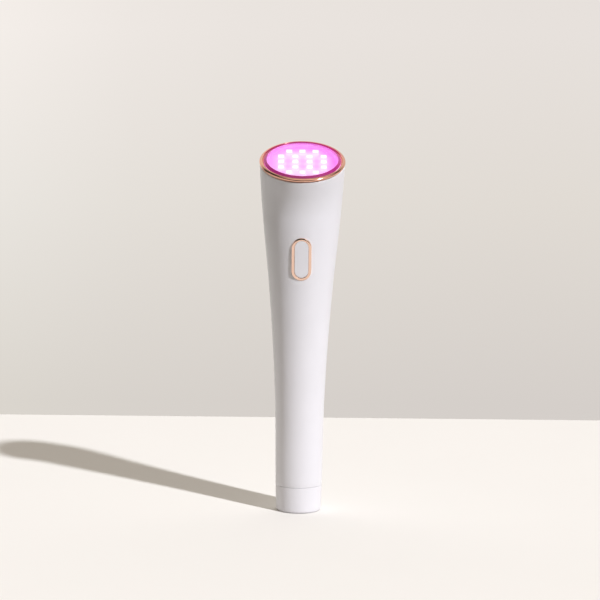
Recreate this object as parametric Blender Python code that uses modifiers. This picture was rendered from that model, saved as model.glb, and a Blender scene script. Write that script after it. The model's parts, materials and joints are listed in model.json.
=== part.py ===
"""A red light therapy wand: a flared white handle with a tilted round light head, a pill-shaped push
button, and a base cap that pulls off downwards to uncover the charging socket. Metres, +Z up, with the
foot's centre at the origin and the button on the front, towards -Y."""

import math

import bmesh
import bpy
import numpy as np
from mathutils import Matrix, Vector

MM = 0.001

# Clearances
SEAT_GAP = 0.3 * MM          # between pieces that rest on or beside each other
SOLDER_GAP = 0.15 * MM       # under parts soldered to a board
SEAM_GAP = 0.25 * MM         # between flush visible pieces
CUT_OVERRUN = 2.0 * MM       # how far a cutter runs past what it cuts
MERGE_DISTANCE = 0.001 * MM

# Body form, measured along its centre line from the foot
BODY_LENGTH = 157.5 * MM
FOOT_RADIUS = 10.0 * MM
WAIST_HEIGHT = 55.0 * MM
WAIST_RADIUS = 11.2 * MM
SHOULDER_HEIGHT = 118.0 * MM
SHOULDER_RADIUS = 15.8 * MM
RIM_RADIUS = 18.75 * MM
STATION_FLARE_SHARES = (0.040, 0.045, 0.106, 0.028)   # radius gained per length at the four stations
FLARE_STEP = 0.5 * MM                # height over which the side's slope is measured
HEAD_TILT = math.radians(20.0)
BEND_LENGTH = 16.5 * MM
COLLAR_LENGTH = 6.0 * MM
WALL = 1.4 * MM
RIM_EDGE_ROUND = 0.3 * MM
RIM_REBATE_WIDTH = 0.7 * MM          # step inside the rim that takes the head ring's skirt
RIM_REBATE_DEPTH = 1.2 * MM

# Base cap and end plug
CAP_HEIGHT = 11.6 * MM
CAP_FLOOR = 1.8 * MM
CAP_WALL = 1.6 * MM
FOOT_EDGE_ROUND = 1.0 * MM
CAP_LIP_ROUND = 0.3 * MM
PLUG_FLANGE_THICKNESS = 1.0 * MM
PLUG_FLANGE_WIDTH = 0.7 * MM
PLUG_SPIGOT_LENGTH = 4.0 * MM
PLUG_WALL = 1.0 * MM
PLUG_FLOOR_HEIGHT = 9.2 * MM
NECK_END_CHAMFER = 0.5 * MM
O_RING_HEIGHT = 7.6 * MM
O_RING_SECTION = 1.0 * MM
O_RING_SQUEEZE_GAP = 0.12 * MM

# Charging socket
SOCKET_WIDTH = 8.94 * MM
SOCKET_DEPTH = 3.26 * MM
SOCKET_LENGTH = 7.3 * MM
SOCKET_SHELL = 0.3 * MM
SOCKET_RECESS = 0.8 * MM
TONGUE_WIDTH = 6.6 * MM
TONGUE_THICKNESS = 0.7 * MM
TONGUE_LENGTH = 4.6 * MM
SOCKET_BOARD_WIDTH = 12.4 * MM
SOCKET_BOARD_LENGTH = 11.5 * MM
BOARD_THICKNESS = 1.2 * MM
SOCKET_BOARD_SETBACK = 2.0 * MM

# Plug screws
SCREW_OFFSET = 5.7 * MM
SCREW_HEAD_RADIUS = 1.5 * MM
SCREW_HEAD_HEIGHT = 1.2 * MM
SCREW_SHANK_RADIUS = 0.8 * MM
SCREW_LENGTH = 12.0 * MM
SCREW_HEAD_RECESS = 0.5 * MM
SCREW_SLOT_WIDTH = 0.5 * MM
BOSS_RADIUS = 1.6 * MM

# Cell and its tabs
CELL_RADIUS = 7.0 * MM
CELL_LENGTH = 50.0 * MM
CELL_EDGE_ROUND = 0.6 * MM
CELL_BUTTON_RADIUS = 2.8 * MM
CELL_BUTTON_HEIGHT = 1.0 * MM
CELL_GROOVE_DEPTH = 0.4 * MM
CELL_GROOVE_OFFSET = 3.0 * MM
TAB_THICKNESS = 0.4 * MM
TAB_WIDTH = 3.0 * MM
TAB_LENGTH = 8.0 * MM
MINUS_TAB_FOLD = 3.2 * MM
PLUS_TAB_FOLD = 5.2 * MM

# Chassis
BULKHEAD_THICKNESS = 1.6 * MM
BULKHEAD_LIFT = 2.1 * MM             # room for the wires between the plug and the low bulkhead
CRADLE_WALL = 1.0 * MM
TRAY_THICKNESS = 1.6 * MM
TRAY_LENGTH = 51.0 * MM
SPINE_THICKNESS = 1.6 * MM
SPINE_DEPTH = 9.0 * MM
WIRE_NOTCH_WIDTH = 8.0 * MM
WIRE_NOTCH_REACH = 1.3 * MM          # how far the notches reach inside the cell's radius

# Main board and its parts
BOARD_WIDTH = 15.0 * MM
BOARD_LENGTH = 46.0 * MM
BOARD_FRONT_OFFSET = 6.0 * MM        # from the body's axis to the board's front face
DRIVER_CHIP_SIZE = (5.0 * MM, 1.5 * MM, 4.0 * MM)
CHARGE_CHIP_SIZE = (4.0 * MM, 1.2 * MM, 4.0 * MM)
CHIP_EDGE = 0.25 * MM
CHARGE_PAD_SHARE = 0.127             # places on the board's front, from its foot up to the switch
CELL_PAD_SHARE = 0.191
CHARGE_CHIP_SHARE = 0.297
DRIVER_CHIP_SHARE = 0.509
INDUCTOR_SHARE = 0.748
INDUCTOR_RADIUS = 2.6 * MM
INDUCTOR_HEIGHT = 3.0 * MM
INDUCTOR_WAIST = 0.6 * MM
INDUCTOR_LIP = 0.7 * MM
INDUCTOR_SIDE = 3.6 * MM
CAPACITOR_RADIUS = 2.0 * MM
CAPACITOR_HEIGHT = 4.6 * MM
CAPACITOR_BASE = 0.9 * MM
CAPACITOR_SIDE = 4.2 * MM

# Push switch
SWITCH_SIZE = 6.0 * MM
SWITCH_HEIGHT = 3.3 * MM
SWITCH_EDGE = 0.35 * MM
PLUNGER_RADIUS = 1.6 * MM
PLUNGER_REACH = 1.3 * MM             # how far the plunger stands out of the switch at rest
PLUNGER_INSIDE = 0.9 * MM
PLUNGER_EDGE = 0.3 * MM

# Button and its rim
BUTTON_HEIGHT = 115.7 * MM
BUTTON_TRAVEL = 0.5 * MM
RIM_RING_WIDTH = 8.7 * MM
RIM_RING_LENGTH = 19.3 * MM
RIM_RING_BAND = 1.25 * MM
RIM_RING_PROUD = 0.45 * MM
RIM_RING_ROUND_SHARE = 0.4          # of the band's width, rounded off each top edge
RIM_RING_SEAT = 1.1 * MM             # how deep the band reaches before the housing's curve cuts it
RIM_SKIRT_INSET = 0.55 * MM
RIM_SKIRT_WALL = 0.6 * MM
RIM_SKIRT_DEPTH = 2.3 * MM
BUTTON_PROUD = 0.2 * MM
BUTTON_SIDE_GAP = 0.2 * MM
BUTTON_EDGE_ROUND = 0.4 * MM
BUTTON_FLANGE_WIDTH = 0.9 * MM
BUTTON_FLANGE_THICKNESS = 0.8 * MM
BUTTON_POST_RADIUS = 1.5 * MM

# Light head, heights counted from the housing's rim along the tilted axis
RING_OVERHANG = 0.25 * MM            # how far the ring stands out over the housing's rim
RING_SHOULDER_WIDTH = 1.3 * MM       # from the ring's outer edge in to its crest
RING_FACE_WIDTH = 1.9 * MM           # from the ring's outer edge in to the lens's opening
RING_CREST_HEIGHT = 1.75 * MM
RING_INNER_EDGE_HEIGHT = 1.5 * MM
RING_LEDGE_HEIGHT = 0.3 * MM         # the lens is glued on this ledge
RING_LEDGE_WIDTH = 0.8 * MM
LENS_FACE_HEIGHT = 2.1 * MM
LENS_BEVEL_WIDTH = 1.05 * MM
LENS_BEVEL_DROP = 0.55 * MM
LENS_GAP = 0.2 * MM                  # round the lens, inside the ring
GASKET_WIDTH = 0.6 * MM
GASKET_THICKNESS = 0.4 * MM
CARRIER_FLOOR = 1.6 * MM
CARRIER_WIRE_HOLE_RADIUS = 4.2 * MM
CARRIER_SKIRT_DEPTH = 1.2 * MM
CARRIER_SKIRT_WALL = 1.4 * MM
LED_BOARD_THICKNESS = 1.6 * MM
REFLECTOR_DRAFT = 0.7 * MM
REFLECTOR_WALL = 0.35 * MM

# LEDs
LED_WIDTH = 2.8 * MM
LED_LENGTH = 3.5 * MM
LED_HEIGHT = 0.9 * MM
LED_CUP_RADIUS = 1.15 * MM
LED_CUP_DEPTH = 0.3 * MM
LED_CUP_DRAFT = 0.15 * MM
LED_TOP_DROP = 1.85 * MM             # LED tops below the lens's face
LED_COLUMN_PITCH_SHARE = 0.390       # of the lamp board's radius
LED_ROW_PITCH_SHARE = 0.318
LED_END_COLUMN_PITCH_SHARE = 0.363
LED_END_ROW_SHARE = 0.615
LED_BOARD_HOLE_RADIUS = 0.8 * MM

# Wires
WIRE_RADIUS = 0.5 * MM
WIRE_WALL_GAP = 0.35 * MM
WIRE_END_GAP = 0.3 * MM
WIRE_SPACING = 2.4 * MM
CHARGE_WIRE_SPACING = 6.0 * MM
WIRE_STEP = 3.0 * MM

# Facets
ROUND_STEPS = 36
HIDDEN_STEPS = 32
SMALL_STEPS = 20
TINY_STEPS = 16
ROUNDING_SEGMENTS = 2
EDGE_STEPS = 4
CELL_EDGE_STEPS = 2
O_RING_STEPS = 6
RING_BULGE_STEPS = 7
LED_CUP_STEPS = 10
PILL_END_STEPS = 8
BODY_STEPS = 10
BORE_STEPS = 10
BEND_STEPS = 4
SHARP_ANGLE = math.radians(40.0)     # edges at least this sharp stay crisp

# Heights and radii that follow from the sizes above
bend_start = BODY_LENGTH - COLLAR_LENGTH - BEND_LENGTH
bend_radius = BEND_LENGTH / HEAD_TILT
plug_shoulder = CAP_HEIGHT + SEAT_GAP
plug_top = plug_shoulder + PLUG_FLANGE_THICKNESS + PLUG_SPIGOT_LENGTH
neck_end = CAP_FLOOR + 2.0 * SEAT_GAP
low_bulkhead_height = plug_top + BULKHEAD_LIFT
cell_bottom = low_bulkhead_height + BULKHEAD_THICKNESS + 2.0 * SEAT_GAP + TAB_THICKNESS
cell_top = cell_bottom + CELL_LENGTH + CELL_BUTTON_HEIGHT
mid_bulkhead_height = cell_top + 2.0 * SEAT_GAP + TAB_THICKNESS
tray_bottom = mid_bulkhead_height + BULKHEAD_THICKNESS
tray_top = tray_bottom + TRAY_LENGTH
board_bottom = tray_bottom + SEAT_GAP
board_front = -BOARD_FRONT_OFFSET
board_back = board_front + BOARD_THICKNESS
tray_front = board_back + SEAT_GAP
tray_back = tray_front + TRAY_THICKNESS
gasket_top = RING_LEDGE_HEIGHT + SOLDER_GAP + GASKET_THICKNESS
lens_under = gasket_top + SOLDER_GAP
ring_radius = RIM_RADIUS + RING_OVERHANG
ring_inner_radius = ring_radius - RING_FACE_WIDTH
lens_radius = ring_inner_radius - LENS_GAP
led_top = LENS_FACE_HEIGHT - LED_TOP_DROP
led_seat = led_top - LED_HEIGHT
led_board_top = led_seat - SOLDER_GAP
led_board_under = led_board_top - LED_BOARD_THICKNESS


# Form of the body

def body_radius(height):
    """Outer radius at a length along the centre line: a smooth cubic between the four stations."""
    heights = (0.0, WAIST_HEIGHT, SHOULDER_HEIGHT, BODY_LENGTH)
    radii = (FOOT_RADIUS, WAIST_RADIUS, SHOULDER_RADIUS, RIM_RADIUS)
    i = min(max(int(np.searchsorted(heights, height, side="right")) - 1, 0), len(heights) - 2)
    span = heights[i + 1] - heights[i]
    u = (height - heights[i]) / span
    start = radii[i] * (2 * u**3 - 3 * u**2 + 1) + STATION_FLARE_SHARES[i] * span * (u**3 - 2 * u**2 + u)
    end = radii[i + 1] * (3 * u**2 - 2 * u**3) + STATION_FLARE_SHARES[i + 1] * span * (u**3 - u**2)
    return start + end


def bore_radius(height):
    return body_radius(height) - WALL


def body_flare(height):
    """Angle between the body's side and its centre line."""
    rise = body_radius(height + FLARE_STEP) - body_radius(height - FLARE_STEP)
    return math.atan2(rise, 2 * FLARE_STEP)


def bent(points):
    """Points of the straight form moved onto the centre line, which curves forwards by the head tilt."""
    x, y, z = np.asarray(points, float).T
    angle = np.clip((z - bend_start) / bend_radius, 0.0, HEAD_TILT)
    beyond = np.maximum(z - bend_start - BEND_LENGTH, 0.0)
    along = np.minimum(z, bend_start) + bend_radius * np.sin(angle) + beyond * np.cos(angle)
    forwards = bend_radius * (1 - np.cos(angle)) + beyond * np.sin(angle)
    return np.stack([x, y * np.cos(angle) - forwards, along + y * np.sin(angle)], axis=1)


# Scene helpers

for old in list(bpy.data.objects):
    bpy.data.objects.remove(old, do_unlink=True)

parts = bpy.data.collections.new("red_light_therapy_wand")
cutters = bpy.data.collections.new("cutters")
bpy.context.scene.collection.children.link(parts)
bpy.context.scene.collection.children.link(cutters)


def finish(name, colour, roughness, metallic=0.0, transmission=0.0):
    material = bpy.data.materials.new(name)
    material.use_nodes = True
    shader = material.node_tree.nodes["Principled BSDF"]
    shader.inputs["Base Color"].default_value = (*colour, 1.0)
    shader.inputs["Roughness"].default_value = roughness
    shader.inputs["Metallic"].default_value = metallic
    shader.inputs["Transmission Weight"].default_value = transmission
    return material


def add(name, mesh, material, parent=None):
    """Links a mesh as a named piece with its finish."""
    obj = bpy.data.objects.new(name, mesh)
    obj.data.materials.append(material)
    obj.parent = parent
    parts.objects.link(obj)
    return obj


def as_cutter(obj):
    parts.objects.unlink(obj)
    cutters.objects.link(obj)
    obj.hide_render = True
    obj.display_type = "WIRE"
    return obj


def frame_empty(name, location, turn):
    empty = bpy.data.objects.new(name, None)
    empty.location = location
    empty.rotation_euler = (turn, 0.0, 0.0)
    parts.objects.link(empty)
    return empty


def evaluated_mesh(obj):
    """The object's mesh with its modifiers applied, doubles merged."""
    bpy.context.view_layer.update()
    graph = bpy.context.evaluated_depsgraph_get()
    mesh = bpy.data.meshes.new_from_object(obj.evaluated_get(graph))
    shape = bmesh.new()
    shape.from_mesh(mesh)
    bmesh.ops.remove_doubles(shape, verts=shape.verts, dist=MERGE_DISTANCE)
    shape.to_mesh(mesh)
    shape.free()
    return mesh


def baked(obj):
    """Replaces the object's mesh with its evaluated one and drops the modifiers."""
    mesh = evaluated_mesh(obj)
    obj.modifiers.clear()
    obj.data = mesh
    return obj


def shaded(obj):
    obj.data.shade_smooth()
    obj.data.set_sharp_from_angle(angle=SHARP_ANGLE)
    return obj


def turned(name, profile, material, parent=None, steps=ROUND_STEPS, closed=False):
    """A profile of (radius, height) points turned about Z. A closed profile gives a ring."""
    mesh = bpy.data.meshes.new(name)
    points = [(radius, 0.0, height) for radius, height in profile]
    edges = [(i, i + 1) for i in range(len(points) - 1)]
    if closed:
        edges.append((len(points) - 1, 0))
    mesh.from_pydata(points, edges, [])
    obj = add(name, mesh, material, parent)
    screw = obj.modifiers.new("turn", "SCREW")
    screw.axis = "Z"
    screw.steps = steps
    screw.render_steps = steps
    screw.use_merge_vertices = True
    screw.merge_threshold = MERGE_DISTANCE
    screw.use_smooth_shade = True
    return obj


def boolean(obj, other, operation="DIFFERENCE"):
    modifier = obj.modifiers.new(f"{operation.lower()}_{other.name}", "BOOLEAN")
    modifier.operation = operation
    modifier.solver = "EXACT"
    modifier.object = other
    return obj


def box(name, size, centre, material, parent=None, edge=0.0):
    shape = bmesh.new()
    bmesh.ops.create_cube(shape, size=1.0)
    bmesh.ops.scale(shape, vec=Vector(size), verts=shape.verts)
    bmesh.ops.translate(shape, vec=Vector(centre), verts=shape.verts)
    mesh = bpy.data.meshes.new(name)
    shape.to_mesh(mesh)
    shape.free()
    obj = add(name, mesh, material, parent)
    if edge:
        bevel = obj.modifiers.new("edges", "BEVEL")
        bevel.width = edge
        bevel.segments = 1
        bevel.limit_method = "ANGLE"
    return obj


def box_between(name, low, high, material, parent=None, edge=0.0):
    size = [high[i] - low[i] for i in range(3)]
    centre = [(high[i] + low[i]) / 2 for i in range(3)]
    return box(name, size, centre, material, parent, edge)


def rod(name, radius, low, high, place, material, parent=None, steps=SMALL_STEPS):
    """A cylinder along Z from low to high, its axis at place (x, y)."""
    shape = bmesh.new()
    bmesh.ops.create_cone(
        shape, cap_ends=True, segments=steps, radius1=radius, radius2=radius, depth=high - low
    )
    bmesh.ops.translate(shape, vec=Vector((place[0], place[1], (low + high) / 2)), verts=shape.verts)
    mesh = bpy.data.meshes.new(name)
    shape.to_mesh(mesh)
    shape.free()
    return add(name, mesh, material, parent)


def pill_points(width, length):
    """Outline of two half circles joined by straight sides, long side along Y."""
    radius = width / 2
    reach = length / 2 - radius
    angles = np.linspace(0.0, math.pi, PILL_END_STEPS + 1)
    upper = np.stack([radius * np.cos(angles), reach + radius * np.sin(angles)], axis=1)
    return np.concatenate([upper, -upper])


def outline_solid(name, outlines, low, high, material, parent=None):
    """A flat outline, with any inner outlines as holes, extruded from low to high along Z."""
    curve = bpy.data.curves.new(name, "CURVE")
    curve.dimensions = "2D"
    curve.fill_mode = "BOTH"
    curve.extrude = (high - low) / 2
    for outline in outlines:
        spline = curve.splines.new("POLY")
        spline.points.add(len(outline) - 1)
        for point, (x, y) in zip(spline.points, outline):
            point.co = (x, y, 0.0, 1.0)
        spline.use_cyclic_u = True
    guide = bpy.data.objects.new(name + "_outline", curve)
    bpy.context.scene.collection.objects.link(guide)
    mesh = evaluated_mesh(guide)
    bpy.data.objects.remove(guide, do_unlink=True)
    mesh.transform(Matrix.Translation((0.0, 0.0, (low + high) / 2)))
    return add(name, mesh, material, parent)


def round_edges(obj, width, segments, picks):
    """Bevels the sharp edges whose two ends satisfy picks(x, y, z)."""
    shape = bmesh.new()
    shape.from_mesh(obj.data)
    weights = shape.edges.layers.float.new("bevel_weight_edge")
    for edge in shape.edges:
        sharp = edge.calc_face_angle(0.0) > SHARP_ANGLE
        if sharp and all(picks(*vertex.co) for vertex in edge.verts):
            edge[weights] = 1.0
    shape.to_mesh(obj.data)
    shape.free()
    bevel = obj.modifiers.new("rounding", "BEVEL")
    bevel.width = width
    bevel.segments = segments
    bevel.limit_method = "WEIGHT"
    bevel.use_clamp_overlap = False
    return obj


def arc(centre, radius, start, end, steps):
    """Points of a circle's arc in (radius, height), angles in degrees from the outward direction."""
    angles = np.radians(np.linspace(start, end, steps + 1))
    return [(centre[0] + radius * math.cos(a), centre[1] + radius * math.sin(a)) for a in angles]


def side_points(low, high, steps, inset=0.0):
    """The body's side from high down to low, a distance inset inside its surface."""
    heights = np.linspace(high, low, steps + 1)
    return [(body_radius(h) - inset, h) for h in heights]


def full_side(low, high, straight_steps, bend_steps, inset=0.0):
    """The body's whole side, top to bottom: the straight collar, the bend and the straight handle."""
    collar = side_points(bend_start + BEND_LENGTH, high, 1, inset)
    bend = side_points(bend_start, bend_start + BEND_LENGTH, bend_steps, inset)
    handle = side_points(low, bend_start, straight_steps, inset)
    return collar + bend[1:] + handle[1:]


def wire(name, points, material):
    """A round insulated wire along a smooth curve through the points."""
    route = [Vector(p) for p in points]
    route = [route[0] * 2 - route[1], *route, route[-1] * 2 - route[-2]]
    sampled = []
    for a, b, c, d in zip(route, route[1:], route[2:], route[3:]):
        steps = max(1, round((c - b).length / WIRE_STEP))
        for k in range(steps):
            u = k / steps
            sampled.append(
                (
                    b * 2 + (c - a) * u + (a * 2 - b * 5 + c * 4 - d) * u**2 + (b * 3 - a - c * 3 + d) * u**3
                ) / 2
            )
    sampled.append(route[-2])
    curve = bpy.data.curves.new(name, "CURVE")
    curve.dimensions = "3D"
    curve.bevel_depth = WIRE_RADIUS
    curve.bevel_resolution = 1
    curve.use_fill_caps = True
    spline = curve.splines.new("POLY")
    spline.points.add(len(sampled) - 1)
    for point, place in zip(spline.points, sampled):
        point.co = (*place, 1.0)
    obj = bpy.data.objects.new(name, curve)
    curve.materials.append(material)
    parts.objects.link(obj)
    return obj


# Finishes

white_shell = finish("satin white plastic", (0.86, 0.84, 0.82), 0.32)
white_cap = finish("satin white cap plastic", (0.86, 0.84, 0.82), 0.32)
rose_gold = finish("polished rose gold plating", (0.80, 0.46, 0.32), 0.14, 1.0)
clear_lens = finish("clear lens plastic", (0.98, 0.86, 0.98), 0.05, 0.0, 0.9)
reflector_white = finish("reflector plastic", (0.92, 0.62, 0.90), 0.35)
black_plastic = finish("black moulded plastic", (0.03, 0.03, 0.035), 0.5)
grey_plastic = finish("grey chassis plastic", (0.45, 0.46, 0.47), 0.55)
rubber = finish("silicone rubber", (0.55, 0.55, 0.56), 0.75)
board_green = finish("green circuit board", (0.03, 0.22, 0.10), 0.45)
board_white = finish("white lamp board", (0.90, 0.88, 0.88), 0.4)
led_white = finish("lamp package", (0.98, 0.80, 0.97), 0.4)
steel = finish("plated steel", (0.72, 0.72, 0.73), 0.25, 1.0)
nickel = finish("nickel strip", (0.70, 0.68, 0.64), 0.35, 1.0)
cell_wrap = finish("blue cell wrap", (0.05, 0.16, 0.45), 0.4)
ferrite = finish("ferrite", (0.10, 0.10, 0.11), 0.6)
red_wire = finish("red wire insulation", (0.65, 0.04, 0.03), 0.5)
black_wire = finish("black wire insulation", (0.02, 0.02, 0.02), 0.5)


# Frames that carry the tilted pieces

head_centre = bent([(0.0, 0.0, BODY_LENGTH)])[0]
head_frame = frame_empty("head_frame", head_centre, HEAD_TILT)
button_flare = body_flare(BUTTON_HEIGHT)
button_frame = frame_empty(
    "button_frame", (0.0, -body_radius(BUTTON_HEIGHT), BUTTON_HEIGHT), math.pi / 2 + button_flare
)


# Housing

def make_housing():
    low = CAP_HEIGHT + SEAM_GAP
    rebate_top = plug_shoulder + PLUG_FLANGE_THICKNESS + SEAT_GAP
    outer = full_side(low + RIM_EDGE_ROUND, BODY_LENGTH - RIM_EDGE_ROUND, BODY_STEPS, BEND_STEPS)
    inner = full_side(rebate_top, BODY_LENGTH - RIM_REBATE_DEPTH, BORE_STEPS, BEND_STEPS, WALL)
    rebate = body_radius(low) - WALL + PLUG_FLANGE_WIDTH
    bottom = [
        (body_radius(low) - RIM_EDGE_ROUND, low),
        (rebate, low),
        (rebate, rebate_top),
    ]
    top = [
        (rim_rebate_radius(), BODY_LENGTH - RIM_REBATE_DEPTH),
        (rim_rebate_radius(), BODY_LENGTH),
        (RIM_RADIUS - RIM_EDGE_ROUND, BODY_LENGTH),
    ]
    profile = top + outer + bottom + inner[::-1]
    housing = baked(turned("housing", profile, white_shell, closed=True))
    points = np.array([vertex.co[:] for vertex in housing.data.vertices])
    housing.data.vertices.foreach_set("co", bent(points).ravel())
    hole = as_cutter(
        outline_solid(
            "button_hole_cutter",
            [pill_points(*skirt_outline(SEAM_GAP))],
            -RIM_SKIRT_DEPTH - CUT_OVERRUN,
            CUT_OVERRUN,
            white_shell,
            button_frame,
        )
    )
    return shaded(boolean(housing, hole))


def rim_rebate_radius():
    return RIM_RADIUS - WALL + RIM_REBATE_WIDTH


def skirt_outline(margin):
    """Width and length of the button rim's skirt, grown by margin on every side."""
    grow = 2 * margin - 2 * RIM_SKIRT_INSET
    return RIM_RING_WIDTH + grow, RIM_RING_LENGTH + grow


# Base cap, end plug and what they hold

def make_base_cap():
    bore = cap_bore()
    side = side_points(FOOT_EDGE_ROUND, CAP_HEIGHT - CAP_LIP_ROUND, EDGE_STEPS)
    foot_centre = (body_radius(FOOT_EDGE_ROUND) - FOOT_EDGE_ROUND, FOOT_EDGE_ROUND)
    foot = arc(foot_centre, FOOT_EDGE_ROUND, 0, -90, EDGE_STEPS)
    inside = [(0.0, CAP_FLOOR), (bore - NECK_END_CHAMFER, CAP_FLOOR), (bore, CAP_FLOOR + NECK_END_CHAMFER)]
    lip = [(bore, CAP_HEIGHT), (body_radius(CAP_HEIGHT) - CAP_LIP_ROUND, CAP_HEIGHT)]
    profile = inside + lip + side + foot[1:] + [(0.0, 0.0)]
    return shaded(turned("base_cap", profile, white_cap))


def cap_bore():
    return body_radius(CAP_HEIGHT) - CAP_WALL


def neck_radius():
    return cap_bore() - SEAT_GAP


def o_ring_groove():
    """Floor radius of the neck's groove, and its half width."""
    outer = cap_bore() - O_RING_SQUEEZE_GAP
    return outer - O_RING_SECTION - O_RING_SQUEEZE_GAP, O_RING_SECTION / 2 + O_RING_SQUEEZE_GAP


def make_end_plug():
    low = CAP_HEIGHT + SEAM_GAP
    neck = neck_radius()
    floor, half = o_ring_groove()
    flange = body_radius(low) - WALL + PLUG_FLANGE_WIDTH - SEAT_GAP
    spigot = min(bore_radius(plug_shoulder), bore_radius(plug_top)) - SEAT_GAP
    flange_top = plug_shoulder + PLUG_FLANGE_THICKNESS
    profile = [
        (0.0, PLUG_FLOOR_HEIGHT),
        (spigot - PLUG_WALL, PLUG_FLOOR_HEIGHT),
        (spigot - PLUG_WALL, plug_top),
        (spigot, plug_top),
        (spigot, flange_top),
        (flange, flange_top),
        (flange, plug_shoulder),
        (neck, plug_shoulder),
        (neck, O_RING_HEIGHT + half),
        (floor, O_RING_HEIGHT + half),
        (floor, O_RING_HEIGHT - half),
        (neck, O_RING_HEIGHT - half),
        (neck, neck_end + NECK_END_CHAMFER),
        (neck - NECK_END_CHAMFER, neck_end),
        (0.0, neck_end),
    ]
    plug = turned("end_plug", profile, black_plastic)
    mouth = as_cutter(
        outline_solid(
            "socket_mouth_cutter",
            [pill_points(SOCKET_DEPTH + 2 * SEAT_GAP, SOCKET_WIDTH + 2 * SEAT_GAP)],
            neck_end - CUT_OVERRUN,
            PLUG_FLOOR_HEIGHT + CUT_OVERRUN,
            black_plastic,
        )
    )
    mouth.rotation_euler = (0.0, 0.0, math.pi / 2)
    boolean(plug, mouth)
    back = socket_board_front()
    slot = as_cutter(
        box_between(
            "socket_board_slot_cutter",
            (-SOCKET_BOARD_WIDTH / 2 - SEAT_GAP, back - 2 * SEAT_GAP, socket_board_bottom() - SEAT_GAP),
            (SOCKET_BOARD_WIDTH / 2 + SEAT_GAP, back + BOARD_THICKNESS + SEAT_GAP, plug_top + CUT_OVERRUN),
            black_plastic,
        )
    )
    boolean(plug, slot)
    head_top = neck_end + SCREW_HEAD_RECESS + SCREW_HEAD_HEIGHT + SEAT_GAP
    screw_room = [
        (0.0, PLUG_FLOOR_HEIGHT + CUT_OVERRUN),
        (SCREW_SHANK_RADIUS + SEAT_GAP, PLUG_FLOOR_HEIGHT + CUT_OVERRUN),
        (SCREW_SHANK_RADIUS + SEAT_GAP, head_top),
        (SCREW_HEAD_RADIUS + SEAT_GAP, head_top),
        (SCREW_HEAD_RADIUS + SEAT_GAP, neck_end - CUT_OVERRUN),
        (0.0, neck_end - CUT_OVERRUN),
    ]
    for side, name in ((-1, "front"), (1, "back")):
        hole = as_cutter(
            turned(f"plug_screw_hole_{name}_cutter", screw_room, black_plastic, steps=TINY_STEPS)
        )
        hole.location = (0.0, side * SCREW_OFFSET, 0.0)
        boolean(plug, hole)
    return shaded(plug)


def make_o_ring():
    outer = cap_bore() - O_RING_SQUEEZE_GAP
    radius = O_RING_SECTION / 2
    profile = arc((outer - radius, O_RING_HEIGHT), radius, 90, -270, O_RING_STEPS)[:-1]
    return shaded(turned("cap_o_ring", profile, rubber, steps=HIDDEN_STEPS, closed=True))


def socket_board_front():
    return SOCKET_DEPTH / 2 + SOLDER_GAP


def socket_board_bottom():
    return neck_end + SOCKET_RECESS + SOCKET_BOARD_SETBACK


def make_socket():
    low = neck_end + SOCKET_RECESS
    high = low + SOCKET_LENGTH
    outer = pill_points(SOCKET_DEPTH, SOCKET_WIDTH)
    inner = pill_points(SOCKET_DEPTH - 2 * SOCKET_SHELL, SOCKET_WIDTH - 2 * SOCKET_SHELL)
    shell = outline_solid("socket_shell", [outer, inner], low, high, steel)
    shell.rotation_euler = (0.0, 0.0, math.pi / 2)
    shaded(shell)
    fit = 2 * (SOCKET_SHELL + SOLDER_GAP)
    core = outline_solid(
        "socket_core",
        [pill_points(SOCKET_DEPTH - fit, SOCKET_WIDTH - fit)],
        low + TONGUE_LENGTH,
        high,
        black_plastic,
    )
    core.rotation_euler = (0.0, 0.0, math.pi / 2)
    tongue = as_cutter(
        box_between(
            "socket_tongue",
            (-TONGUE_THICKNESS / 2, -TONGUE_WIDTH / 2, low + SOCKET_SHELL),
            (TONGUE_THICKNESS / 2, TONGUE_WIDTH / 2, high - SOCKET_SHELL),
            black_plastic,
        )
    )
    tongue.rotation_euler = (0.0, 0.0, math.pi / 2)
    shaded(boolean(core, tongue, "UNION"))
    front = socket_board_front()
    box_between(
        "socket_board",
        (-SOCKET_BOARD_WIDTH / 2, front, socket_board_bottom()),
        (SOCKET_BOARD_WIDTH / 2, front + BOARD_THICKNESS, socket_board_bottom() + SOCKET_BOARD_LENGTH),
        board_green,
    )


def make_plug_screws():
    low = neck_end + SCREW_HEAD_RECESS
    for side, name in ((-1, "front"), (1, "back")):
        profile = [
            (0.0, low + SCREW_LENGTH),
            (SCREW_SHANK_RADIUS, low + SCREW_LENGTH - SCREW_SHANK_RADIUS),
            (SCREW_SHANK_RADIUS, low + SCREW_HEAD_HEIGHT),
            (SCREW_HEAD_RADIUS, low + SCREW_HEAD_HEIGHT),
            (SCREW_HEAD_RADIUS, low + SCREW_SLOT_WIDTH / 2),
            (SCREW_HEAD_RADIUS - SCREW_SLOT_WIDTH / 2, low),
            (0.0, low),
        ]
        screw = turned(f"plug_screw_{name}", profile, steel, steps=TINY_STEPS)
        screw.location = (0.0, side * SCREW_OFFSET, 0.0)
        slot = as_cutter(
            box_between(
                f"plug_screw_slot_{name}_cutter",
                (
                    -SCREW_HEAD_RADIUS - CUT_OVERRUN,
                    side * SCREW_OFFSET - SCREW_SLOT_WIDTH / 2,
                    low - CUT_OVERRUN,
                ),
                (SCREW_HEAD_RADIUS + CUT_OVERRUN, side * SCREW_OFFSET + SCREW_SLOT_WIDTH / 2,
                 low + SCREW_HEAD_HEIGHT / 2),
                steel,
            )
        )
        shaded(boolean(screw, slot))


# Cell and tabs

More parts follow.
